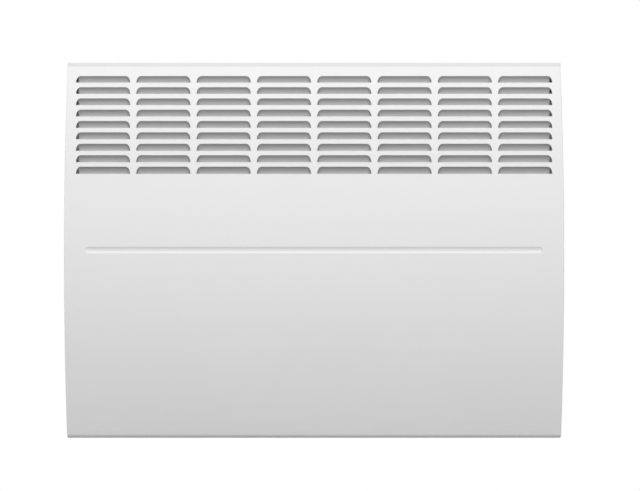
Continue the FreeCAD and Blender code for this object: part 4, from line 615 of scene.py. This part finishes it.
def bend_stations(centre_y, centre_z, radius, start, end, steps, side=1):
    """Stations round a bend, its angles in radians from +Y towards +Z; side is -1 for a hollow bend."""
    stations = []
    for angle in spread(start, end, steps):
        y, z = math.cos(angle), math.sin(angle)
        stations.append(Station(centre_y + radius * y, centre_z + radius * z, side * y, side * z))
    return stations


class CoverShape:
    """The cover's curves and columns, worked out from its settings."""

    # How finely the sheet is divided
    TOP_STEPS = 3
    BEND_STEPS = 5
    CORNER_STEPS = 8
    ARC_STEPS = 6
    MIDDLE_STEPS = 4
    LIP_STEPS = 3
    HOOD_STEPS = 8
    GROOVE_STEPS = 22
    BOW_STEP = 7 * MILLIMETRE

    # What shapes the louvres and the groove
    HOOD_SQUARENESS = 1.5
    END_STEEPNESS = 0.85
    OPEN_STEPS = 4
    # How far the painted shade in a louvre fades towards its slit
    SLIT_COAT = 0.95
    GROOVE_REACH = 1.35

    def __init__(self, sizes):
        self.sizes = sizes
        self.half = COVER_HIGH.x
        self.top = COVER_HIGH.z
        self.bottom = COVER_LOW.z
        self.back = COVER_HIGH.y
        self.back_line = self.back - sizes.back_bend
        self.lip_y = COVER_LOW.y + sizes.bow_sag
        self.radius = arc_radius(self.top - sizes.lip_height, sizes.bow_sag)
        self.centre_y = COVER_LOW.y + self.radius
        self.low_radius = arc_radius(self.bottom, sizes.low_sag)
        self.low_centre_y = COVER_LOW.y + self.low_radius
        self.flat_half = self.half - sizes.side_bend
        self.inlet_half = self.half - sizes.inlet_margin
        self.field_half = self.half - sizes.louvre_margin
        self.pitch = 2 * self.field_half / sizes.louvre_columns
        self.middles = [(i + 0.5) * self.pitch - self.field_half for i in range(sizes.louvre_columns)]
        self.straight = (self.pitch - sizes.louvre_bridge) / 2 - sizes.louvre_end
        self.row_margin = (sizes.row_pitch - sizes.louvre_height) / 2
        top_slit = self.top - sizes.top_slit_drop
        heights = [top_slit - row * sizes.row_pitch for row in range(sizes.louvre_rows)]
        self.slits = [math.asin(height / self.radius) for height in heights]
        feet = [slit - self.row_margin / self.radius for slit in self.slits]
        self.field_top = self.slits[0] + (sizes.louvre_height + self.row_margin) / self.radius
        self.field_foot = feet[-1]
        self.heads = [self.field_top] + feet[:-1]
        reach = self.GROOVE_REACH * sizes.groove_width / 2
        self.groove_rises = spread(reach, -reach, self.GROOVE_STEPS)
        self.groove_straight = self.half - sizes.groove_margin - sizes.groove_width / 2
        groove_end = spread(self.groove_straight, self.groove_straight + reach, self.GROOVE_STEPS // 2)
        self.top_columns = self.columns(self.field_top)
        self.low_columns = self.columns(self.field_foot)
        self.groove_columns = self.columns(self.field_foot, groove_end)
        self.inlet_columns = self.columns(self.field_foot, [self.inlet_half])

    def columns(self, angle, more=()):
        """Where points stand across the plain sheet at an angle, and at more places on both sides."""
        columns = {round(side * x, DECIMALS) for x in (self.flat_half, *more) for side in (-1, 1)}
        for middle in self.middles:
            columns |= {round((middle + x) * self.draw(angle), DECIMALS) for x in self.cell_columns()}
        return sorted(columns)

    def bow(self, x, angle, depth=0.0):
        """A point at a depth under the bow, at an angle above its middle, or below it on the flatter arc."""
        radius, centre_y = self.radius, self.centre_y
        if angle < 0:
            radius, centre_y = self.low_radius, self.low_centre_y
        reach = radius - depth
        return Vector((x, centre_y - reach * math.cos(angle), reach * math.sin(angle)))

    def angle_at(self, rise):
        """The bow's angle at a short way above its middle, or below it."""
        return rise / (self.radius if rise > 0 else self.low_radius)

    def draw(self, angle):
        """How far the columns are drawn together at an angle, as a share of their width at the top."""
        top, foot, here = (math.cos(a) for a in (self.field_top, self.field_foot, angle))
        return 1 - self.sizes.column_draw / self.field_half * (here - top) / (foot - top)

    def bow_station(self, angle):
        """The station on the bow at an angle."""
        point = self.bow(0, angle)
        return Station(point.y, point.z, -math.cos(angle), math.sin(angle))

    def bow_stations(self, start, end):
        """Stations down the bow between two angles."""
        steps = max(1, math.ceil((start - end) * self.radius / self.BOW_STEP))
        return [self.bow_station(angle) for angle in spread(start, end, steps)]

    def top_stations(self):
        """From the back of the top, over the lip and down to the louvred field."""
        bend, crease = self.sizes.top_bend, self.sizes.lip_crease
        flat = spread(self.back_line, self.lip_y + bend, self.TOP_STEPS)[:-1]
        stations = [Station(y, self.top, 0, 1) for y in flat]
        over = (self.lip_y + bend, self.top - bend, bend)
        stations += bend_stations(*over, math.pi / 2, math.pi, self.BEND_STEPS)
        crease_y = self.lip_y - crease
        crease_z = math.sqrt((self.radius + crease) ** 2 - (self.centre_y - crease_y) ** 2)
        turn = math.asin(crease_z / (self.radius + crease))
        stations += bend_stations(crease_y, crease_z, crease, 0, -turn, self.BEND_STEPS, -1)
        return stations + self.bow_stations(turn, self.field_top)[1:]

    def field_stations(self):
        """Down the louvred field, at the heights where the louvres' surrounds have corners."""
        angles = []
        for head, slit in zip(self.heads, self.slits):
            angles += spread(head, slit, self.ARC_STEPS // 2)
        return [self.bow_station(angle) for angle in angles + [self.field_foot]]

    def low_stations(self):
        """From the foot of the groove's band, round the roll and along the bottom to the back."""
        roll = self.sizes.bottom_roll
        roll_z = self.bottom + roll
        reach = self.low_radius - roll
        roll_y = self.low_centre_y - math.sqrt(reach**2 - roll_z**2)
        turn = math.asin(roll_z / reach)
        bow = self.bow_stations(self.angle_at(self.groove_rises[-1]), turn)
        rolled = bend_stations(roll_y, roll_z, roll, math.pi - turn, 3 * math.pi / 2, self.BEND_STEPS)
        inlet_back = self.back - self.sizes.inlet_setback
        flat = (inlet_back - self.sizes.inlet_depth, inlet_back, self.back_line)
        return bow + rolled[1:], [Station(y, self.bottom, 0, -1) for y in flat]

    def cell_columns(self):
        """Where points stand across the top and the foot of one louvre's cell, about its middle."""
        right = spread(self.straight, self.pitch / 2, self.ARC_STEPS // 2)
        return [-x for x in reversed(right)] + self.middle_columns() + right

    def surround(self, rise):
        """The outline of one louvre's cell above its slit, left to right, as (across, rise)."""
        right = [(self.pitch / 2, h) for h in spread(0, rise, self.ARC_STEPS // 2)[:-1]]
        return [(-x, h) for x, h in right] + [(x, rise) for x in self.cell_columns()] + right[::-1]

    def middle_columns(self):
        """Points between the two rounded ends of a louvre."""
        return spread(-self.straight, self.straight, self.MIDDLE_STEPS)[1:-1]

    def hood_profile(self):
        """From the flat sheet round the lip and down the hood to its slit, as (height, depth)."""
        height, depth, lip = self.sizes.louvre_height, self.sizes.louvre_depth, self.sizes.louvre_lip
        profile = []
        for turn in spread(0, math.pi / 2, self.LIP_STEPS):
            profile.append((height + lip * (1 - math.sin(turn)), lip * (1 - math.cos(turn))))
        power = 2 / self.HOOD_SQUARENESS
        for turn in spread(0, math.pi / 2, self.HOOD_STEPS)[1:-1]:
            profile.append((height * math.cos(turn) ** power, lip + (depth - lip) * math.sin(turn) ** power))
        return profile + [(0.0, depth)]

    def end_reach(self, height):
        """How far the rounded end of a line round a louvre reaches, at a height over its slit."""
        share = height / self.sizes.louvre_height
        if share > 1:
            return self.sizes.louvre_end + height - self.sizes.louvre_height
        return self.sizes.louvre_end * (self.END_STEEPNESS + (1 - self.END_STEEPNESS) * share)

    def ring(self, height):
        """A line round a louvre at a height over its slit, left to right, as (across, rise)."""
        right = []
        for turn in spread(0, math.pi / 2, self.ARC_STEPS):
            right.append((self.straight + self.end_reach(height) * math.cos(turn), height * math.sin(turn)))
        return [(-x, h) for x, h in right] + [(x, height) for x in self.middle_columns()] + right[::-1]

    def groove_depth(self, x, rise):
        """How deep the groove is pressed at a place across the cover and above the groove's middle."""
        depth = self.sizes.groove_depth
        radius = arc_radius(self.sizes.groove_width / 2, depth)
        away = math.hypot(max(abs(x) - self.groove_straight, 0), rise)
        if away >= radius:
            return 0.0
        pressed = math.sqrt(radius**2 - away**2) - (radius - depth)
        return smooth_max(pressed, self.sizes.groove_bend)

    def hollow(self, point):
        """How much painted shade a point gets: 0 on the sheet, 1 under a louvre's lip, less near its slit.
        """
        angle = math.atan2(point.z, self.centre_y - point.y)
        if abs(point.x) > self.field_half or not self.field_foot < angle < self.field_top:
            return 0.0
        depth = self.radius - math.hypot(point.y - self.centre_y, point.z)
        under_lip = min(max(depth / (2 * self.sizes.louvre_lip), 0.0), 1.0)
        return under_lip * max(1 - self.SLIT_COAT * (depth / self.sizes.louvre_depth) ** 2, 0.0)


def add_louvre(skin, shape, middle, head, slit, open_side):
    """One louvre with the sheet round it, its slit left open, and its end too on an open side, -1 or 1."""

    def on_sheet(line, depth=0.0):
        angles = [slit + h / shape.radius for x, h in line]
        return [shape.bow((middle + x) * shape.draw(a), a, depth) for (x, _), a in zip(line, angles)]

    lines = [on_sheet(shape.surround((head - slit) * shape.radius))]
    for height, depth in shape.hood_profile():
        lines.append(on_sheet(shape.ring(height), depth))
    skin.grid(lines[: shape.LIP_STEPS + 2])
    hood = lines[shape.LIP_STEPS + 1 :]
    if open_side < 0:
        hood = [line[shape.OPEN_STEPS :] for line in hood]
    elif open_side > 0:
        hood = [line[: -shape.OPEN_STEPS] for line in hood]
    skin.grid(hood)
    half, foot = shape.pitch / 2, shape.straight + shape.end_reach(shape.hood_profile()[0][0])
    right = [shape.straight, (foot + shape.straight) / 2, foot, half]
    edge = [-x for x in reversed(right)] + shape.middle_columns() + right
    under = [(x, -shape.row_margin) for x in shape.cell_columns()]
    skin.grid([on_sheet([(x, 0) for x in edge]), on_sheet(under)])


def add_front(skin, shape):
    """Top, lip, bow, groove, roll and bottom; returns the stations down both sides."""

    def rows(stations, columns):
        return [[station.point(x) for x in columns] for station in stations]

    top = shape.top_stations()
    skin.grid(rows(top, shape.top_columns))
    field = shape.field_stations()
    for side in (-1, 1):
        margin = []
        for station in field:
            edge = shape.field_half * shape.draw(math.asin(station.z / shape.radius))
            margin += rows([station], sorted((side * edge, side * shape.flat_half)))
        skin.grid(margin)
    open_sides = {0: -1, len(shape.middles) - 1: 1}
    for head, slit in zip(shape.heads, shape.slits):
        for column, middle in enumerate(shape.middles):
            add_louvre(skin, shape, middle, head, slit, open_sides.get(column, 0))
    above = shape.bow_stations(shape.field_foot, shape.angle_at(shape.groove_rises[0]))
    plain = rows(above, shape.low_columns)
    skin.grid(plain[:-1])
    groove = []
    groove_stations = []
    for rise in shape.groove_rises:
        angle = shape.angle_at(rise)
        groove.append([shape.bow(x, angle, shape.groove_depth(x, rise)) for x in shape.groove_columns])
        groove_stations.append(shape.bow_station(angle))
    skin.step(plain[-2], groove[0])
    skin.grid(groove)
    low, bottom = shape.low_stations()
    plain = rows(low, shape.low_columns)
    skin.step(groove[-1], plain[1])
    skin.grid(plain[1:])
    plate = rows(bottom, shape.inlet_columns)
    skin.step(plain[-1], plate[0])

    def outside_inlet(a, b):
        within = abs(a.x + b.x) / 2 < shape.inlet_half
        return not (within and max(a.y, b.y) <= bottom[1].y + WELD_DISTANCE)

    skin.grid(plate, outside_inlet)
    return top + field[1:] + above[1:-1] + groove_stations + low[1:] + bottom


def rounded_rectangle(middle, half_width, half_height, corner, steps):
    """A loop of (across, up) points."""
    loop = []
    for quarter, (side_x, side_z) in enumerate(CORNERS):
        for turn in spread(quarter * math.pi / 2, (quarter + 1) * math.pi / 2, steps):
            x = middle[0] + side_x * (half_width - corner) + corner * math.cos(turn)
            z = middle[1] + side_z * (half_height - corner) + corner * math.sin(turn)
            loop.append((x, z))
    return loop


def add_sides(skin, shape, stations):
    """The bends down both sides, and the flat side walls with the fascia's cut-out."""
    bend = shape.sizes.side_bend
    for side in (-1, 1):
        rows = []
        for station in stations:
            row = []
            for turn in spread(0, math.pi / 2, shape.BEND_STEPS):
                x = side * (shape.flat_half + bend * math.sin(turn))
                row.append(station.point(x, bend * (1 - math.cos(turn))))
            rows.append(row[::side])
        skin.grid(rows)
        loops = [[s.point(side * shape.half, bend) for s in stations]]
        if side > 0:
            middle = (FASCIA_LOW + FASCIA_HIGH) / 2
            half = (FASCIA_HIGH - FASCIA_LOW) / 2 - Vector((1, 1, 1)) * shape.sizes.fascia_rim
            corner = (shape.sizes.fascia_corner, shape.CORNER_STEPS)
            hole = rounded_rectangle((middle.y, middle.z), half.y, half.z, *corner)
            loops.append([Vector((shape.half, y, z)) for y, z in hole])
        skin.fill(loops, (1, 2), side < 0)


def add_back(skin, shape):
    """The bend all round the back and the flange that is turned in there."""
    side_bend, bend = shape.sizes.side_bend, shape.sizes.back_bend
    turns = spread(0, math.pi / 2, shape.BEND_STEPS)
    outline = []
    for end, z, columns in ((1, shape.top, shape.top_columns), (-1, shape.bottom, shape.inlet_columns)):
        outline += [(Vector((x, shape.back_line, z)), Vector((0, 0, end))) for x in columns[::end][:-1]]
        pivot = Vector((end * shape.flat_half, shape.back_line, z - end * side_bend))
        for turn in turns:
            out = Vector((end * math.sin(turn), 0, end * math.cos(turn)))
            outline.append((pivot + out * side_bend, out))
    rows = []
    for turn in turns:
        inwards = bend * (1 - math.cos(turn))
        backwards = Vector((0, bend * math.sin(turn), 0))
        row = [point - out * inwards + backwards for point, out in outline]
        rows.append(row + row[:1])
    skin.grid(rows[::-1])
    half_width, half_height = (size - shape.sizes.back_flange for size in (shape.half, shape.top))
    window = [Vector((x * half_width, shape.back, z * half_height)) for x, z in CORNERS]
    skin.fill([rows[-1][:-1], window], (0, 2), True)


def build_cover(sizes):
    """The bowed, louvred cover as one folded sheet."""
    shape = CoverShape(sizes)
    skin = Skin()
    stations = add_front(skin, shape)
    add_sides(skin, shape, stations)
    add_back(skin, shape)
    cover = skin.to_object("louvred_cover", sizes.sheet)
    # Painted shade for the louvres' insides, kept on the points for the coat's colour
    hollow = cover.data.attributes.new("hollow", "FLOAT", "POINT")
    hollow.data.foreach_set("value", [shape.hollow(vertex.co) for vertex in cover.data.vertices])
    smooth_shade(cover)
    return cover


class HEATER_OT_cover(bpy.types.Operator):
    """Builds the louvred cover in place of the solid one"""

    bl_idname = "heater.cover"
    bl_label = "Louvred cover"

    def execute(self, context):
        finish = context.scene.heater_finish
        paint = powder_coat("Cover powder coat", finish.cover_white, finish.dust)
        cover = build_cover(context.scene.heater_cover)
        cover.data.materials.append(paint)
        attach(cover, "heater")
        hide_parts("front_cover")
        dress(paint, "inlet_grille")
        return {"FINISHED"}


class HEATER_OT_casing(bpy.types.Operator):
    """Finishes the rear panel, the plated sheets and the screws and rivets"""

    bl_idname = "heater.casing"
    bl_label = "Rear panel, bracket and fixings"

    def execute(self, context):
        finish = context.scene.heater_finish
        dress(powder_coat("Rear panel powder coat", finish.panel_white, finish.dust), "rear_panel")
        sheet = plated_steel("Zinc-plated sheet", finish.zinc, crystals=130)
        dress(sheet, "wall_bracket", "control_partition", "element_bracket_left", "element_bracket_right")
        screws = plated_steel("Plated screws", finish.screw, crystals=700)
        dress(screws, "cover_screws", "panel_rivets", "cutout_screws")
        dress(screws, "thermostat_screws", "terminal_block_screws")
        return {"FINISHED"}


class HEATER_OT_element(bpy.types.Operator):
    """Finishes the heating element, its insulators and its shield"""

    bl_idname = "heater.element"
    bl_label = "Heating element"

    def execute(self, context):
        finish = context.scene.heater_finish
        drawn, rolled = (15, 2400, 2400), (40, 900, 900)
        dull = shade(finish.aluminium, 0.85)
        dress(drawn_metal("Drawn aluminium", finish.aluminium, dull, drawn, roughness=0.34), "element_fins")
        rod = drawn_metal("Heat-tinted rod", finish.rod, shade(finish.rod_tint), drawn, roughness=0.36)
        dress(rod, "element_rod", "element_pins")
        stained = shade(finish.shield, 0.8)
        dress(drawn_metal("Aluminised steel", finish.shield, stained, rolled, roughness=0.3), "heat_shield")
        dress(glazed_ceramic("Glazed ceramic", finish.ceramic), "element_seals", "element_bushes")
        return {"FINISHED"}


# Controls
class Print:
    """Thin printed marks, gathered into one piece."""

    def __init__(self):
        self.mesh = bmesh.new()

    def add(self, data, place):
        """A flat mesh, drawn in X and Y, laid on the face by a matrix."""
        before = set(self.mesh.verts)
        self.mesh.from_mesh(data)
        fresh = [v for v in self.mesh.verts if v not in before]
        bmesh.ops.transform(self.mesh, matrix=place, verts=fresh)
        bpy.data.meshes.remove(data)

    def to_object(self, name, ink):
        """The marks as one piece."""
        data = finished_mesh(name, self.mesh)
        data.materials.append(ink)
        return add_object(name, data)


def on_face(x, y, z, turn=0.0):
    """Lays X on +Y and Y on +Z, looking along +X, after a turn clockwise as seen from outside."""
    lay = Matrix(((0, 0, 1), (1, 0, 0), (0, 1, 0))).to_4x4()
    return Matrix.Translation((x, y, z)) @ Matrix.Rotation(turn, 4, "X") @ lay


def round_knob(x, radius, turn, lean=0.0):
    """A place on a face round the knob, at a turn clockwise from its top."""
    middle = (KNOB_LOW + KNOB_HIGH) / 2
    return on_face(x, middle.y + radius * math.sin(turn), middle.z + radius * math.cos(turn), lean)


def bar_mesh(width, height, thickness):
    """A bar with rounded ends, flat on its back."""
    corner = min(width, height) * BAR_ROUNDNESS
    loop = rounded_rectangle((0, 0), width / 2, height / 2, corner, BAR_STEPS)
    return slab_mesh([loop], thickness)


def slab_mesh(loops, thickness):
    """A thin slab inside one outline, or between an outline and its hole."""
    mesh = bmesh.new()
    front = [[mesh.verts.new((x, y, thickness)) for x, y in loop] for loop in loops]
    back = [[mesh.verts.new((x, y, 0)) for x, y in loop] for loop in loops]
    for upper, lower in zip(front, back):
        for i in range(len(upper)):
            mesh.faces.new((upper[i - 1], lower[i - 1], lower[i], upper[i]))
    if len(loops) == 1:
        mesh.faces.new(front[0])
        mesh.faces.new(back[0][::-1])
    else:
        for outer, inner in (front, back):
            for i in range(len(outer)):
                mesh.faces.new((outer[i - 1], outer[i], inner[i], inner[i - 1]))
    bmesh.ops.recalc_face_normals(mesh, faces=mesh.faces)
    return finished_mesh("mark", mesh)


def number_mesh(number, size, thickness):
    """A number in Blender's own letters, centred."""
    curve = bpy.data.curves.new("number", "FONT")
    curve.body = str(number)
    curve.size = size
    curve.align_x = "CENTER"
    curve.align_y = "CENTER"
    curve.extrude = thickness / 2
    curve.resolution_u = 4
    holder = bpy.data.objects.new("number", curve)
    data = bpy.data.meshes.new_from_object(holder)
    data.transform(Matrix.Translation((0, 0, thickness / 2)))
    bpy.data.objects.remove(holder)
    bpy.data.curves.remove(curve)
    return data


def dial_print(sizes, ink):
    """Numbers and ticks round the knob."""
    marks = Print()
    steps = 2 * (sizes.dial_numbers - 1)
    for i, turn in enumerate(spread(-sizes.dial_turn / 2, sizes.dial_turn / 2, steps)):
        tick = bar_mesh(sizes.tick_width, sizes.tick_length, sizes.print_thickness)
        marks.add(tick, round_knob(FASCIA_HIGH.x, sizes.tick_radius, turn, -turn))
        if i % 2 == 0:
            number = number_mesh(i // 2 + 1, sizes.number_size, sizes.print_thickness)
            marks.add(number, round_knob(FASCIA_HIGH.x, sizes.dial_radius, turn))
    return marks.to_object("dial_print", ink)


def pointer_line(sizes, ink):
    """The line on the knob's grip, at the first number at rest."""
    turn = -sizes.dial_turn / 2
    line = bar_mesh(sizes.pointer_width, sizes.pointer_length, sizes.print_thickness)
    mark = Print()
    mark.add(line, round_knob(KNOB_HIGH.x, sizes.pointer_start + sizes.pointer_length / 2, turn, -turn))
    return mark.to_object("pointer_line", ink)


def rocker_marks(sizes, ink):
    """A bar on the rocker's upper pad and a ring on its lower pad."""
    middle_y = (ROCKER_LOW.y + ROCKER_HIGH.y) / 2
    pivot = Matrix.Translation((sizes.rocker_pivot_x, middle_y, sizes.rocker_pivot_z))
    tipped = pivot @ Matrix.Rotation(sizes.rocker_tilt, 4, "Y")
    outer = sizes.mark_size / 2
    turns = spread(0, 2 * math.pi, RING_STEPS)[:-1]
    circles = []
    for radius in (outer, outer - sizes.mark_width):
        circles.append([(radius * math.cos(turn), radius * math.sin(turn)) for turn in turns])
    bar = bar_mesh(sizes.mark_width, sizes.mark_size, sizes.print_thickness)
    ring = slab_mesh(circles, sizes.print_thickness)
    out = sizes.pad_reach + (sizes.mark_offset - sizes.pad_middle) * math.tan(sizes.pad_tilt)
    marks = Print()
    for side, data in ((1, bar), (-1, ring)):
        place = Matrix.Translation((out, 0, side * sizes.mark_offset))
        lean = Matrix.Rotation(side * sizes.pad_tilt, 4, "Y")
        marks.add(data, tipped @ place @ lean @ on_face(0, 0, 0))
    return marks.to_object("rocker_marks", ink)


class HEATER_OT_controls(bpy.types.Operator):
    """Finishes the control plate, knob, switch, lens, thermostat, cut-out and brass, and adds the marks"""

    bl_idname = "heater.controls"
    bl_label = "Controls"

    def execute(self, context):
        finish = context.scene.heater_finish
        sizes = context.scene.heater_controls
        dress(moulded_plastic("Fascia moulding", finish.fascia, roughness=0.5), "control_fascia")
        dress(moulded_plastic("Knob moulding", finish.knob, roughness=0.4), "thermostat_knob")
        switch = moulded_plastic("Switch moulding", finish.switch, roughness=0.3)
        dress(switch, "switch_body", "switch_rocker")
        dress(lens_plastic("Lens plastic", finish.lens), "indicator_lens")
        phenolic = moulded_plastic("Phenolic moulding", finish.phenolic, roughness=0.42, grain_count=900)
        dress(phenolic, "thermostat_base", "thermal_cutout")
        turned = (1800, 60, 60)
        brass = drawn_metal("Brass", finish.brass, shade(finish.brass_tarnish), turned, roughness=0.3)
        dress(brass, "thermostat_spindle", "terminal_screws", "earth_stud", "earth_nuts", "earth_tag")
        bimetal = drawn_metal("Bimetal", finish.bimetal, shade(finish.rod_tint), turned, roughness=0.3)
        dress(bimetal, "thermostat_bimetal")
        black = moulded_plastic("Printed black", finish.print_black, roughness=0.45)
        white = moulded_plastic("Printed white", finish.print_white, roughness=0.45)
        marks = (
            (dial_print(sizes, black), "heater", "switch_plastic"),
            (pointer_line(sizes, black), "knob", "switch_plastic"),
            (rocker_marks(sizes, white), "rocker", "knob_plastic"),
        )
        for piece, body, slot in marks:
            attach(piece, body)
        return {"FINISHED"}


class HEATER_OT_wiring(bpy.types.Operator):
    """Finishes the terminal block, lamp, gland, grommets, wires and clips"""

    bl_idname = "heater.wiring"
    bl_label = "Wiring"

    def execute(self, context):
        finish = context.scene.heater_finish
        nylon = moulded_plastic("Natural nylon", finish.nylon, roughness=0.42)
        dress(nylon, "terminal_block", "wire_clips", "indicator_lamp")
        dress(moulded_plastic("Black nylon", finish.gland, roughness=0.4), "cable_gland", "gland_nut")
        dress(moulded_plastic("Rubber", finish.rubber, roughness=0.62, grain_count=700), "wire_grommets")
        brown = woven_sleeve("Brown sleeving", finish.live, finish.live)
        dress(brown, "live_wire", "switched_wire", "thermostat_wire", "cutout_wire")
        dress(woven_sleeve("Blue sleeving", finish.neutral, finish.neutral), "neutral_wire")
        earth = woven_sleeve("Green and yellow sleeving", finish.earth_green, finish.earth_yellow)
        dress(earth, "earth_wire")
        return {"FINISHED"}


# Stage
def white_to_the_eye(tree):
    """A mask that is 1 for rays from the camera, reflections and glass."""
    path = add_node(tree, "ShaderNodeLightPath").outputs
    mask = path["Is Camera Ray"]
    for name in ("Is Glossy Ray", "Is Transmission Ray"):
        mask = maths(tree, "MAXIMUM", mask, path[name])
    return mask


def build_world(stage):
    """A white surround to the eye, and a softer level for its light."""
    world = bpy.data.worlds.new("Studio")
    world.use_nodes = True
    tree = world.node_tree
    background = tree.nodes["Background"].inputs
    background["Color"].default_value = (1, 1, 1, 1)
    level = remap(tree, white_to_the_eye(tree), 0, 1, stage.sky_level, 1)
    tree.links.new(level, background["Strength"])
    bpy.context.scene.world = world


def floor_paint(stage):
    """Pale paint that keeps the shadow near the heater and is plain white to the eye far off."""
    finish = Finish("Floor paint", {"Roughness": 0.8})
    tree = finish.tree
    seen = white_to_the_eye(tree)
    finish.paint(shade(stage.floor_bounce), (seen, 1, shade(stage.floor_colour)))
    away = add_node(tree, "ShaderNodeVectorMath", {"operation": "LENGTH"}, {0: object_place(tree)})
    fade = remap(tree, away.outputs["Value"], stage.shadow_reach, stage.white_reach)
    fade.node.interpolation_type = "SMOOTHSTEP"
    sockets = {
        "Fac": maths(tree, "MULTIPLY", fade, seen),
        1: finish.shader.outputs["BSDF"],
        2: add_node(tree, "ShaderNodeEmission").outputs["Emission"],
    }
    mix = add_node(tree, "ShaderNodeMixShader", None, sockets).outputs["Shader"]
    tree.links.new(mix, tree.nodes["Material Output"].inputs["Surface"])
    return finish.material


def build_floor(stage):
    """A broad floor under the heater."""
    z = CAD_BOX[0].z - stage.floor_drop
    corners = [(x * stage.floor_half, y * stage.floor_half, z) for x, y in CORNERS]
    data = bpy.data.meshes.new("floor")
    data.from_pydata(corners, [], [range(4)])
    data.materials.append(floor_paint(stage))
    add_object("floor", data)


def build_light(name, power, size, location):
    """A broad soft light, aimed at the middle of the cover."""
    data = bpy.data.lights.new(name, "AREA")
    data.shape = "RECTANGLE"
    data.size, data.size_y = size
    data.energy = power
    light = add_object(name, data)
    light.location = location
    aim = Vector((0, COVER_LOW.y, 0)) - light.location
    light.rotation_euler = aim.to_track_quat("-Z", "Y").to_euler()


def build_camera(stage):
    """The photograph's straight view of the front."""
    data = bpy.data.cameras.new("front_view")
    data.lens = stage.lens
    data.shift_x = stage.shift_x
    data.shift_y = stage.shift_y
    data.clip_end = 200
    camera = add_object("front_view", data)
    camera.location = (0, -stage.camera_distance, 0)
    camera.rotation_euler = (math.pi / 2, 0, 0)
    bpy.context.scene.camera = camera


class HEATER_OT_stage(bpy.types.Operator):
    """Sets up the floor, the light and the camera"""

    bl_idname = "heater.stage"
    bl_label = "Floor, light and camera"

    def execute(self, context):
        stage = context.scene.heater_stage
        context.scene.view_settings.view_transform = "Standard"
        build_world(stage)
        build_floor(stage)
        long_strip = (2.4, 0.6)
        build_light("key_soft", stage.key_power, size=long_strip, location=(0, -2.2, 2.1))
        build_light("front_soft", stage.front_power, size=long_strip, location=(0, -3.0, -0.05))
        build_light("overhead", stage.top_power, size=long_strip, location=(0, -0.45, 2.2))
        for name, x in (("left_soft", -2.3), ("right_soft", 2.3)):
            build_light(name, stage.side_power, size=(1.0, 1.0), location=(x, 0.9, 0.3))
        build_light("back_soft", stage.back_power, size=(2.0, 0.5), location=(0, 2.5, -0.1))
        build_camera(stage)
        return {"FINISHED"}


# Panel and registration
OPERATORS = (
    HEATER_OT_cover,
    HEATER_OT_casing,
    HEATER_OT_element,
    HEATER_OT_controls,
    HEATER_OT_wiring,
    HEATER_OT_stage,
)


class HEATER_PT_tools(bpy.types.Panel):
    """The heater's building steps"""

    bl_idname = "HEATER_PT_tools"
    bl_label = "Heater"
    bl_space_type = "VIEW_3D"
    bl_region_type = "UI"
    bl_category = "Heater"

    def draw(self, context):
        for operator in OPERATORS:
            self.layout.operator(operator.bl_idname)


SETTINGS = {
    "heater_cover": CoverSettings,
    "heater_controls": ControlSettings,
    "heater_finish": FinishSettings,
    "heater_stage": StageSettings,
}


register_classes, unregister_classes = bpy.utils.register_classes_factory(
    (*SETTINGS.values(), *OPERATORS, HEATER_PT_tools)
)


def register():
    """Adds the classes and their settings."""
    register_classes()
    for name, group in SETTINGS.items():
        setattr(bpy.types.Scene, name, PointerProperty(type=group))


def unregister():
    """Takes the settings and the classes away."""
    for name in SETTINGS:
        delattr(bpy.types.Scene, name)
    unregister_classes()


def main():
    """Builds the heater."""
    register()
    bpy.ops.heater.cover()
    bpy.ops.heater.casing()
    bpy.ops.heater.element()
    bpy.ops.heater.controls()
    bpy.ops.heater.wiring()
    bpy.ops.heater.stage()


if __name__ == "__main__":
    main()
